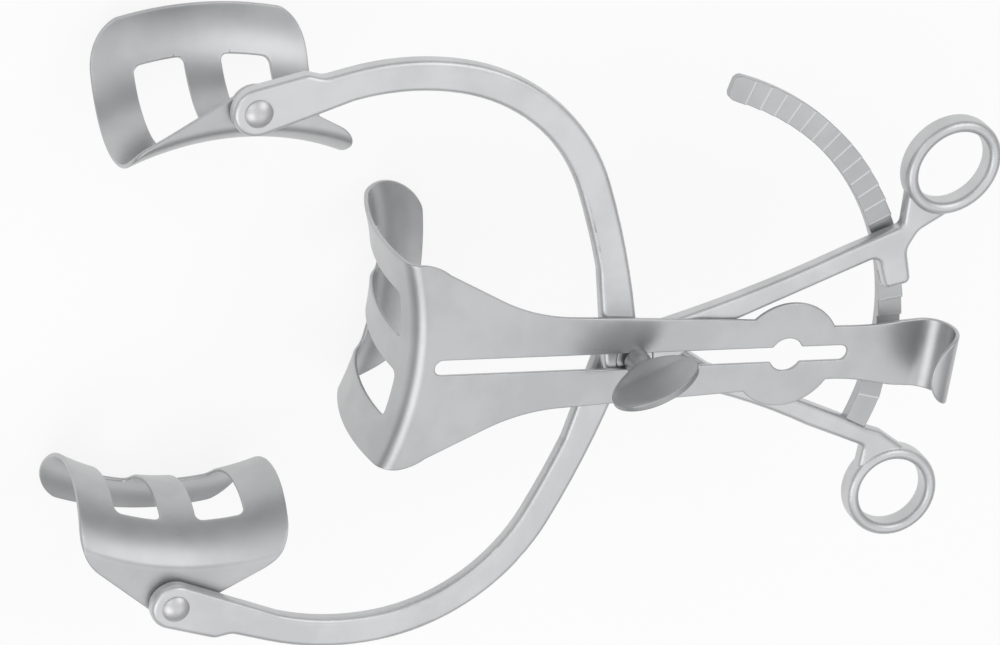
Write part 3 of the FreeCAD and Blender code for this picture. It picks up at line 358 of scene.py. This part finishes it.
def stud_points(steps_up=520, around=96):
    """The radius runs straight between stations of height and radius in mm; in the thread it drops by
    depth times a triangle wave of z/pitch - turn."""
    top = (stud_high[2] - stud_low[2]) / MM
    stations = np.array([
        (0.0, HEAD_RADIUS - HEAD_CUT), (HEAD_CUT, HEAD_RADIUS), (HEAD_HEIGHT - STEP, HEAD_RADIUS),
        (HEAD_HEIGHT, JOURNAL_RADIUS), (THREAD_START - STEP, JOURNAL_RADIUS),
        (THREAD_START, THREAD_RADIUS), (top - TIP_CUT, THREAD_RADIUS), (top, THREAD_RADIUS - TIP_CUT)])
    height = np.unique(np.concatenate([np.linspace(0.0, top, steps_up), stations[:, 0]]))
    turn = np.linspace(0.0, 2 * np.pi, around, endpoint=False)
    z, angle = np.meshgrid(height, turn, indexing="ij")
    radius = np.interp(z, *stations.T)
    phase = np.mod(z / PITCH - angle / (2 * np.pi), 1.0)
    groove = THREAD_DEPTH * np.abs(2 * phase - 1)
    cut = np.clip((z - THREAD_START - 0.6) / PITCH, 0, 1) * np.clip((top - z) / TIP_CUT, 0, 1)
    radius = radius - groove * cut
    return np.stack([radius * np.cos(angle), radius * np.sin(angle), z], -1) * MM + np.array(
        [0.0, 0.0, stud_low[2]])


stud = grid_piece("threaded_stud", stud_points(), turned, "pivot")
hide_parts("joint_stud")

# %% [markdown]
# ## The wing nut
# The wing nut is one forging: a round hub that flows into a broad flat paddle for the fingers. Cut level, each
# slice is a rounded oblong: a circle at the hub and a long thin one in the paddle. So the piece is
# a stack of slices, each a superellipse with a half width, a half thickness and a squareness.

# %% Wing nut
wing_low, wing_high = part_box("wing_nut")
HUB_RADIUS, HUB_TOP, WING_TURN = 6.7, 10.0, math.radians(28.0)
PADDLE_HALF_WIDTH, PADDLE_HALF_HEIGHT, PADDLE_HALF_THICKNESS = 23.5, 16.4, 2.1
FLARE, WING_DROP, WAIST, TAPER = 2.2, 3.6, 1.4, 3.5
RIM_POWER, SQUARENESS = 12, 5.0


def soft_step(value, low, high):
    """0 below low, 1 above high, and 3 t squared - 2 t cubed between them."""
    share = np.clip((value - low) / (high - low), 0, 1)
    return share * share * (3 - 2 * share)


def wing_points(steps_up=220, around=160):
    """Half width is the flare-norm of hub radius and the paddle's ellipse; slices are superellipses."""
    top = (wing_high[2] - wing_low[2]) / MM - WING_DROP
    middle = top - PADDLE_HALF_HEIGHT
    share = np.linspace(0, 1, steps_up)[:-1]
    height = top * np.sin(share * np.pi / 2) ** 1.2
    z = height[:, None]
    rise = np.clip((z - middle) / PADDLE_HALF_HEIGHT, -1, 1)
    oval = PADDLE_HALF_WIDTH * np.sqrt(np.maximum(1 - rise ** 2, 1e-6))
    hub = HUB_RADIUS - WAIST * soft_step(z, 3.0, HUB_TOP) - TAPER * soft_step(z, HUB_TOP, top)
    fade = 1 - soft_step(z, middle - 2, top)
    half_width = ((hub * fade) ** FLARE + oval ** FLARE) ** (1 / FLARE)
    thin = soft_step(z, HUB_TOP - 4.0, middle - 6.0)
    rim = (1 - np.clip(rise, 0, 1) ** RIM_POWER) ** (1 / RIM_POWER)
    half_thick = (hub * (1 - thin) + PADDLE_HALF_THICKNESS * thin) * rim
    power = 2.0 / (2.0 + SQUARENESS * thin)
    turn = np.linspace(0, 2 * np.pi, around, endpoint=False)[None, :]
    across = np.sign(np.cos(turn)) * np.abs(np.cos(turn)) ** power * half_width
    deep = np.sign(np.sin(turn)) * np.abs(np.sin(turn)) ** power * half_thick
    x = across * math.cos(WING_TURN) - deep * math.sin(WING_TURN)
    y = across * math.sin(WING_TURN) + deep * math.cos(WING_TURN)
    return np.stack([x, y, z + 0 * x], -1) * MM + np.array([0.0, 0.0, wing_low[2]])


wing = grid_piece("wing_handle", wing_points(), winged, "wing_nut")
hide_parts("wing_nut")

# %% [markdown]
# ## One bent sheet
# A blade is cut flat from 2.2 mm sheet, pressed round an upright axis and rubbed smooth at its edges.
# Every point of its middle face has two numbers: y across the blade, and s along the sheet from the
# crease, which is below zero on the flat side. The press form gives a distance r from the upright axis and
# a height z for each s, so the point lies at x = axis + sqrt(r * r - y * y). Outline and windows
# are drawn as flat loops in y and s, filled with well shaped triangles and lifted by that formula.
# Solidify gives the thickness and Bevel rounds the rim, which is safe because no triangle is tiny.

# %% Loops
SHEET = 2.2


def line_run(start, end, spacing):
    """Points on a straight line, at most spacing apart, without its start."""
    start, end = np.array(start, float), np.array(end, float)
    count = max(int(np.ceil(np.hypot(*(end - start)) / spacing)), 1)
    return start + (end - start) * (np.arange(1, count + 1) / count)[:, None]


def arc_run(start, middle, end, spacing):
    """Points on the circle through three points, at most spacing apart, without its start."""
    three = np.array([start, middle, end], float)
    level = (three ** 2).sum(axis=1)
    centre = np.linalg.solve(2 * (three[1:] - three[0]), level[1:] - level[0])
    spokes = three - centre
    angles = np.arctan2(spokes[:, 1], spokes[:, 0])
    onward = np.mod(angles - angles[0], 2 * np.pi)
    sweep = onward[2] if onward[1] < onward[2] else onward[2] - 2 * np.pi
    radius = np.hypot(*spokes[0])
    count = max(int(np.ceil(abs(sweep) * radius / spacing)), 2)
    turn = angles[0] + sweep * np.arange(1, count + 1) / count
    return centre + radius * np.stack([np.cos(turn), np.sin(turn)], -1)


def loop(start, steps, spacing=2.0):
    """Follows steps from start: a step is an end point, or the middle and end of an arc."""
    runs, spot = [np.array([start], float)], start
    for step in steps:
        if isinstance(step[0], (tuple, list)):
            runs.append(arc_run(spot, step[0], step[1], spacing))
            spot = step[1]
        else:
            runs.append(line_run(spot, step, spacing))
            spot = step
    return np.concatenate(runs)


def window(low_y, high_y, low_s, high_s, corner, spacing=1.2):
    """A rectangle with round corners, in y and s."""
    bite = corner * (1 - math.sqrt(0.5))
    return loop((low_y + corner, low_s), [
        (high_y - corner, low_s), ((high_y - bite, low_s + bite), (high_y, low_s + corner)),
        (high_y, high_s - corner), ((high_y - bite, high_s - bite), (high_y - corner, high_s)),
        (low_y + corner, high_s), ((low_y + bite, high_s - bite), (low_y, high_s - corner)),
        (low_y, low_s + corner), ((low_y + bite, low_s + bite), (low_y + corner, low_s))],
        spacing)[:-1]


def inside(loop_points, spots):
    """True where a spot lies in a loop: a ray to the right crosses the loop an odd number of times."""
    a, b = loop_points, np.roll(loop_points, -1, axis=0)
    x, y = spots[:, :1], spots[:, 1:]
    spans = (a[:, 1] > y) != (b[:, 1] > y)
    rise = np.where(a[:, 1] == b[:, 1], 1.0, b[:, 1] - a[:, 1])
    cross = a[:, 0] + (y - a[:, 1]) * (b[:, 0] - a[:, 0]) / rise
    return (spans & (cross > x)).sum(axis=1) % 2 == 1


# %% The press form
FLAT_REACH, LIP_CROWN = 500.0, 0.3


class PressForm:
    """Distance r from the upright axis and height z of a sheet's middle face, for each length s."""

    def __init__(self, start_x, top, plan_radius, bends):
        self.axis_x = start_x - plan_radius
        lengths = [(radius - SHEET / 2) * math.radians(turn) for radius, turn in bends]
        self.joins = np.concatenate([[0.0], np.cumsum(lengths)])
        headings = 180.0 + np.concatenate([[0.0], np.cumsum([turn for radius, turn in bends])])
        self.end = self.joins[-1]
        # The heading grows evenly along each arc, and r and z are running sums of its cosine and sine
        s = np.linspace(0.0, self.end, 3001)
        heading = np.radians(np.interp(s, self.joins, headings))
        step = s[1]
        half_way = (heading[1:] + heading[:-1]) / 2
        r = plan_radius + np.concatenate([[0.0], np.cumsum(np.cos(half_way) * step)])
        z = top - SHEET / 2 + np.concatenate([[0.0], np.cumsum(np.sin(half_way) * step)])
        self.s = np.concatenate([[-FLAT_REACH], s])
        self.r = np.concatenate([[plan_radius + FLAT_REACH], r])
        self.z = np.concatenate([[top - SHEET / 2], z])
        self.nearest = int(np.argmin(self.r))

    def bow(self, x, y):
        """x on the circle about the axis that crosses y = 0 at x."""
        return self.axis_x + math.sqrt((x - self.axis_x) ** 2 - y ** 2)

    def from_plan(self, points, past_nearest=False):
        """Turns plan points x, y into y, s, on the flat and bend or, past the nearest place, on the lip."""
        r = np.hypot(points[:, 0] - self.axis_x, points[:, 1])
        if past_nearest:
            s = np.interp(r, self.r[self.nearest:], self.s[self.nearest:])
        else:
            s = np.interp(-r, -self.r[:self.nearest + 1], self.s[:self.nearest + 1])
        return np.stack([points[:, 1], s], -1)

    def lift(self, spots):
        """Turns y, s into points x, y, z of the sheet's middle face."""
        y, s = spots.T
        r, z = np.interp(s, self.s, self.r), np.interp(s, self.s, self.z)
        return np.stack([self.axis_x + np.sqrt(r ** 2 - y ** 2), y, z], -1)

    def lip_corner(self, half, corner):
        """The round corner of the lip as seen from above, a quarter of an ellipse, from side to front."""
        lip_x = self.axis_x + self.r[-1]
        side_x, front_y = self.bow(lip_x, half) - corner, half - corner
        turn = np.radians(np.linspace(90.0, 0.0, 22))
        x = side_x + (self.bow(lip_x, front_y) + LIP_CROWN - side_x) * np.cos(turn)
        return self.from_plan(np.stack([x, front_y + corner * np.sin(turn)], -1), True)


# %% Cut, press and finish a sheet
ACROSS_STEP, RIM_GAP, RIM_ROUND = 2.4, 1.25, 0.7


def pressed_sheet(name, node, body, form, outline, holes, rows, shape):
    """Fills the outline in y, s around its holes, lifts it with the form and shape, and makes the piece."""
    loops = [outline] + holes
    edge_points = np.concatenate(loops)
    grid = np.array(np.meshgrid(np.arange(-60.0, 60.1, ACROSS_STEP), rows)).reshape(2, -1).T
    keep = inside(outline, grid)
    for hole in holes:
        keep &= ~inside(hole, grid)
    grid = grid[keep]
    gap = np.sqrt(((grid[:, None, :] - edge_points[None, :, :]) ** 2).sum(axis=2)).min(axis=1)
    spots = np.concatenate([edge_points, grid[gap > RIM_GAP]])
    first = np.cumsum([0] + [len(one) for one in loops])
    rings = [np.arange(a, b) for a, b in zip(first[:-1], first[1:])]
    pairs = np.concatenate([np.stack([ring, np.roll(ring, -1)], -1) for ring in rings])
    found = delaunay_2d_cdt([Vector(spot) for spot in spots], pairs.tolist(), [], 1, 1e-5)
    spots, triangles = np.array([tuple(v) for v in found[0]]), np.array(found[2])
    middles = spots[triangles].mean(axis=1)
    keep = inside(outline, middles)
    for hole in holes:
        keep &= ~inside(hole, middles)
    triangles = triangles[keep]
    mesh = bpy.data.meshes.new(name)
    mesh.from_pydata((shape(form.lift(spots)) * MM).tolist(), [], triangles.tolist())
    mesh.polygons.foreach_set("use_smooth", [True] * len(mesh.polygons))
    mesh.materials.append(sheet)
    piece = bpy.data.objects.new(name, mesh)
    bpy.context.scene.collection.objects.link(piece)
    wall = piece.modifiers.new("thickness", "SOLIDIFY")
    wall.thickness, wall.offset, wall.use_even_offset = SHEET * MM, 0.0, True
    rim = piece.modifiers.new("rubbed_rim", "BEVEL")
    rim.width, rim.segments, rim.limit_method = RIM_ROUND * MM, 3, "ANGLE"
    rim.angle_limit, rim.use_clamp_overlap = math.radians(50), False
    even = piece.modifiers.new("even_shading", "WEIGHTED_NORMAL")
    even.keep_sharp = True
    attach(piece, body)
    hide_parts(node)
    print(name, "has", len(triangles), "triangles in its middle face")
    return piece


def rows_along(start, stops):
    """Values of s from start through (end, step) pairs."""
    runs, spot = [], start
    for end, step in stops:
        runs.append(np.arange(spot, end, step))
        spot = end
    return np.concatenate(runs)


WINDOW_BAR, WINDOW_WIDTH, WINDOW_CORNER = 19.0, 25.3, 3.6


def blade_windows(low_s, high_s):
    """Two windows, one each side of the middle bar, from low_s to high_s."""
    near, far = WINDOW_BAR / 2, WINDOW_BAR / 2 + WINDOW_WIDTH
    return [window(near, far, low_s, high_s, WINDOW_CORNER),
            window(-far, -near, low_s, high_s, WINDOW_CORNER)]


# %% [markdown]
# ## The side blades
# Each side blade hangs from a rivet by a flat tongue with a round nose. Its crease is bent 50 degrees in
# the upper blade and 33 in the lower one, and from there the wall is one deep hollow that ends
# in a lip with round corners. The rivet lies 3 mm off the middle.

# %% Side blades
SIDE_HALF, SIDE_PLAN, SIDE_CORNER, SIDE_SHIFT, SIDE_YAW = 55.75, 150.0, 22.0, 3.0, 4.0
NOSE, EYE, SIDE_HOLLOW = 11.4, 4.05, 50.0
SIDES = {
    "upper": {"offset": 8.0, "crease": 50.0, "flank": 30.0, "corner": 15.0, "turn": 1, "top": 8.5,
              "rivet": (-218.296, 138.955), "window": (28.0, 95.5), "press": 9.0, "hollow": 126.0},
    "lower": {"offset": 17.3, "crease": 33.0, "flank": 34.0, "corner": 28.0, "turn": -1, "top": -0.2,
              "rivet": (-226.947, -136.474), "window": (28.0, 101.0), "press": 4.5, "hollow": 132.0}}


def tongue_side(which, side):
    """Plan points of one side of the tongue: nose quarter, straight flank, round corner to the blade side."""
    facts = SIDES[which]
    slope, corner = math.radians(facts["flank"]), facts["corner"]
    eye = (0.0, -SIDE_SHIFT)
    touch = (eye[0] + NOSE * math.sin(slope), eye[1] + side * NOSE * math.cos(slope))
    wall_y = side * SIDE_HALF
    meet_x = touch[0] - abs(wall_y - touch[1]) * math.tan(slope)
    back = corner * math.tan((math.pi / 2 - slope) / 2)
    on_flank = (meet_x + back * math.sin(slope), wall_y - side * back * math.cos(slope))
    on_side = (meet_x - back, wall_y)
    centre = (on_side[0], wall_y - side * corner)
    nose_turn = (math.pi / 2 - slope) / 2
    corner_turn = math.pi / 2 - nose_turn
    middle = (centre[0] + corner * math.cos(corner_turn), centre[1] + side * corner * math.sin(corner_turn))
    nose_middle = (eye[0] + NOSE * math.cos(nose_turn), eye[1] + side * NOSE * math.sin(nose_turn))
    return loop((eye[0] + NOSE, eye[1]), [(nose_middle, touch), on_flank, (middle, on_side)], 1.8)


def side_blade(which):
    """Outline: tongue, side and half of the lip on each side, joined by the front edge of the lip."""
    facts = SIDES[which]
    bends = [(facts["press"], facts["crease"]), (SIDE_HOLLOW, facts["hollow"])]
    form = PressForm(-facts["offset"], 0.0, SIDE_PLAN, bends)
    corner = form.lip_corner(SIDE_HALF, SIDE_CORNER)
    sides = {}
    for side in (1, -1):
        tongue = form.from_plan(tongue_side(which, side))
        lip = corner * [side, 1]
        down = line_run(tongue[-1], lip[0], 1.6)
        sides[side] = np.concatenate([tongue, down, lip[1:]])
    front = line_run(sides[1][-1], sides[-1][-1], 2.0)[:-1]
    outline = np.concatenate([sides[1], front, sides[-1][::-1][:-1]])
    turn = np.linspace(0.0, 2 * np.pi, 24, endpoint=False)
    eye = form.from_plan(np.stack([EYE * np.cos(turn), EYE * np.sin(turn) - SIDE_SHIFT], -1))
    middle_radius = SIDE_HOLLOW - SHEET / 2
    low_s, high_s = (form.joins[1] + math.radians(angle) * middle_radius for angle in facts["window"])
    angle = facts["turn"] * math.radians(90.0 + SIDE_YAW)
    rows = rows_along(-30.0, [(-1.0, 2.4), (form.joins[1] + 1.0, 0.9), (form.end, 1.5)])

    def place(points):
        """Turns the blade about its rivet and puts it under the arm's tip."""
        x, y = points[:, 0], points[:, 1] + SIDE_SHIFT
        return np.stack([
            facts["rivet"][0] + x * math.cos(angle) - y * math.sin(angle),
            facts["rivet"][1] + x * math.sin(angle) + y * math.cos(angle),
            facts["top"] + points[:, 2]], -1)

    name, holes = which + "_side_blade", blade_windows(low_s, high_s) + [eye]
    return pressed_sheet(which + "_blade_sheet", name, name, form, outline, holes, rows, place)


for which in SIDES:
    side_blade(which)

# %% [markdown]
# ## The centre blade
# The centre blade and its long bar are one sheet. The bar has a slot that rides on the stud, a keyhole in
# a round lobe, and ends in a thumb hook that curls up and over. The wall behind the crease is nearly
# flat, and its lip curls back under the bar.

# %% Centre blade
CENTRE_HALF, CENTRE_PLAN, CENTRE_CORNER, CREASE_X, BAR_TOP = 57.0, 172.0, 27.0, -113.5, 19.6
SLOT_HALF, SLOT_LEFT, SLOT_RIGHT, KEY_X, KEY_RADIUS = 4.25, -110.0, 120.0, 85.0, 9.3
HOOK_X, HOOK_RADIUS, HOOK_REACH, HOOK_SHIFT = 159.3, 15.0, 46.0, 1.5
SHIFT_FROM, SHIFT_TO = 112.0, 150.0
CREASE_BEND, WALL_BEND, LIP_BEND = (9.2, 80.0), (155.0, 30.0), (32.0, 80.0)


def bar_side(form):
    """Plan points of the bar's +y side, from the crease to the middle of the hook's end."""
    edge_x, lobe, before, neck = form.bow(CREASE_X, CENTRE_HALF), 29.6, 20.6, 15.4
    lobe_left, lobe_right = KEY_X - math.sqrt(lobe ** 2 - before ** 2), KEY_X + math.sqrt(lobe ** 2 - neck ** 2)
    end_x, half, round_end = HOOK_X + HOOK_REACH, 19.6, 18.5
    bite = round_end * (1 - math.sqrt(0.5))
    return loop((edge_x, CENTRE_HALF), [
        ((edge_x + 7.5, CENTRE_HALF - 1.62), (edge_x + 15.0, CENTRE_HALF - 5.8)), (-79.0, 36.4),
        ((-59.5, 28.8), (-40.0, 25.6)), (lobe_left, before), ((KEY_X, lobe), (lobe_right, neck)),
        (((lobe_right + 148.0) / 2, neck + 0.5), (148.0, 18.6)), ((158.0, 19.4), (end_x - round_end, half)),
        ((end_x - bite, half - bite), (end_x, half - round_end)), (end_x, 0.0)], 2.0)


def slot_loop():
    """Plan points of the slot: a long run with round ends, and the keyhole's circle across it."""
    reach = math.sqrt(KEY_RADIUS ** 2 - SLOT_HALF ** 2)
    return loop((SLOT_LEFT + SLOT_HALF, SLOT_HALF), [
        (KEY_X - reach, SLOT_HALF), ((KEY_X, KEY_RADIUS), (KEY_X + reach, SLOT_HALF)),
        (SLOT_RIGHT - SLOT_HALF, SLOT_HALF), ((SLOT_RIGHT, 0.0), (SLOT_RIGHT - SLOT_HALF, -SLOT_HALF)),
        (KEY_X + reach, -SLOT_HALF), ((KEY_X, -KEY_RADIUS), (KEY_X - reach, -SLOT_HALF)),
        (SLOT_LEFT + SLOT_HALF, -SLOT_HALF), ((SLOT_LEFT, 0.0), (SLOT_LEFT + SLOT_HALF, SLOT_HALF))],
        1.4)[:-1]


def curl_hook(points):
    """Past the hook's start the sheet follows a circle: x and z are radius times sine and 1 - cosine.
    The hook stands a little to one side of the bar."""
    x, y, z = points.T
    y = y - HOOK_SHIFT * soft_step(x, SHIFT_FROM, SHIFT_TO)
    middle = HOOK_RADIUS - SHEET / 2
    along = np.maximum(x - HOOK_X, 0.0) / middle
    return np.stack([
        np.minimum(x, HOOK_X) + middle * np.sin(along), y, z + middle * (1 - np.cos(along))], -1)


def centre_blade():
    """Outline: bar, side and half of the lip, mirrored to the other side."""
    form = PressForm(CREASE_X, BAR_TOP, CENTRE_PLAN, [CREASE_BEND, WALL_BEND, LIP_BEND])
    bar = form.from_plan(bar_side(form))[::-1]
    corner = form.lip_corner(CENTRE_HALF, CENTRE_CORNER)
    down = line_run(bar[-1], corner[0], 1.5)
    half = np.concatenate([bar, down, corner[1:]])
    other = (half * [-1, 1])[::-1]
    front = line_run(half[-1], other[0], 2.0)[:-1]
    outline = np.concatenate([half, front, other[:-1]])
    low_s = form.joins[1] + math.radians(3.5) * (WALL_BEND[0] - SHEET / 2)
    high_s = form.joins[2] + math.radians(24.0) * (LIP_BEND[0] - SHEET / 2)
    hook_end, hook_start = form.from_plan(np.array([[HOOK_X + HOOK_REACH, 0.0], [HOOK_X - 2.0, 0.0]]))[:, 1]
    rows = rows_along(hook_end, [
        (hook_start, 1.1), (-2.0, 3.0), (form.joins[1] + 1.0, 0.9), (form.joins[2], 2.4), (form.end, 1.5)])
    holes = blade_windows(low_s, high_s) + [form.from_plan(slot_loop())]
    return pressed_sheet("centre_blade_sheet", "centre_blade", "centre_blade", form, outline, holes, rows,
                         curl_hook)


centre_blade()

# %% [markdown]
# ## Floor, light and camera
# Satin steel shows its surroundings, so the light is what shapes it: a bright broad sky above, darker
# walls at the horizon, which draw the dark lines along round edges, and four large soft lamps.
# The floor is pale and plain. The camera looks down on the tool from the centre blade's end, as the
# photograph does.

# %% Floor
FLOOR_DROP, FLOOR_HALF, FLOOR_GLOW = 0.4 * MM, 3.0, 0.85
floor_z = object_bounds()[0][2] - FLOOR_DROP
floor_corners = [(x * FLOOR_HALF, y * FLOOR_HALF, floor_z) for x, y in ((-1, -1), (1, -1), (1, 1), (-1, 1))]
floor_mesh = bpy.data.meshes.new("floor")
floor_mesh.from_pydata(floor_corners, [], [(0, 1, 2, 3)])
floor = bpy.data.objects.new("floor", floor_mesh)
bpy.context.scene.collection.objects.link(floor)
paper = Finish("floor_paper")
paper.set(Base_Color=(0.86, 0.86, 0.86, 1.0), Roughness=0.9)
grain = paper.noise(paper.place(), 900.0, 2.0)
paper.set(Normal=paper.node("ShaderNodeBump", inputs={"Height": grain, "Distance": 0.0002, "Strength": 0.1}))
glow = paper.node("ShaderNodeEmission", inputs={"Color": (1, 1, 1, 1), "Strength": 1.0})
by_camera, by_gloss, by_glass = (paper.node("ShaderNodeLightPath", output=name) for name in (
    "Is Camera Ray", "Is Glossy Ray", "Is Transmission Ray"))
seen = by_camera.math("MAXIMUM", by_gloss).math("MAXIMUM", by_glass)
matt = Value(paper, paper.shader.outputs[0])
blend = paper.node("ShaderNodeMixShader", inputs={0: seen * FLOOR_GLOW, 1: matt, 2: glow})
paper.feed(paper.nodes["Material Output"].inputs["Surface"], blend)
floor_mesh.materials.append(paper.material)
print("floor at z = %.1f mm" % (floor_z / MM))

# %% World and lamps
world = bpy.data.worlds.new("studio")
bpy.context.scene.world = world
world.use_nodes = True
SKY, SKY_STRENGTH, SKY_BLUE = ((0.0, 0.45), (0.3, 0.5), (0.6, 0.8), (0.9, 1.0)), 0.95, 1.01
studio = NodeBook(world.node_tree)
direction = studio.node("ShaderNodeTexCoord", output="Generated")
height = studio.node("ShaderNodeSeparateXYZ", inputs={0: direction}, output="Z")
stops = [(place, (level, level, level * SKY_BLUE, 1.0)) for place, level in SKY]
sky = studio.node("ShaderNodeValToRGB", {"stops": stops}, {0: height})
studio.feed(studio.nodes["Background"].inputs["Color"], sky)
studio.feed(studio.nodes["Background"].inputs["Strength"], SKY_STRENGTH)


# Each lamp: its place in metres, its width and depth, and its power in watts
LAMPS = {
    "far_right": ((1.0, 1.3, 1.6), 1.4, 1.2, 6.0),
    "near_right": ((0.8, -0.9, 1.75), 1.3, 1.1, 1.3),
    "near_left": ((-1.2, -0.9, 1.6), 1.4, 1.2, 6.0),
    "far_left": ((-1.3, 0.9, 1.3), 1.2, 1.0, 2.5)}


def aim_at_origin(spot):
    """Euler angles that turn an object's own Z from the origin towards its spot."""
    tilt = math.atan2(math.hypot(spot[0], spot[1]), spot[2])
    swing = math.atan2(spot[1], spot[0]) + math.pi / 2
    return (tilt, 0.0, swing)


for name, (spot, width, depth, power) in LAMPS.items():
    light = bpy.data.lights.new(name, "AREA")
    light.shape, light.size, light.size_y, light.energy = "RECTANGLE", width, depth, power
    holder = bpy.data.objects.new(name, light)
    holder.location, holder.rotation_euler = spot, aim_at_origin(spot)
    bpy.context.scene.collection.objects.link(holder)
    print(name, "gives", power, "W")

# %% Camera
LOOK_AT = np.array([-72.3, 17.5, 5.3]) * MM
BACK = np.array([-0.3756, 0.4201, 0.8261])
UP = np.array([0.0331, 0.8969, -0.4410])
DISTANCE, LENS = 2.0136, 144.0
back = BACK / np.linalg.norm(BACK)
right = np.cross(UP, back)
right = right / np.linalg.norm(right)
up = np.cross(back, right)
spot = LOOK_AT + back * DISTANCE
camera_data = bpy.data.cameras.new("camera")
camera_data.lens, camera_data.sensor_width = LENS, 36.0
camera = bpy.data.objects.new("camera", camera_data)
bpy.context.scene.collection.objects.link(camera)
camera.matrix_world = Matrix([
    [right[k], up[k], back[k], spot[k]] for k in range(3)] + [[0.0, 0.0, 0.0, 1.0]])
bpy.context.scene.camera = camera
bpy.context.scene.view_settings.view_transform = "Standard"
print("camera stands %.2f m away with a %.0f mm lens" % (DISTANCE, LENS))
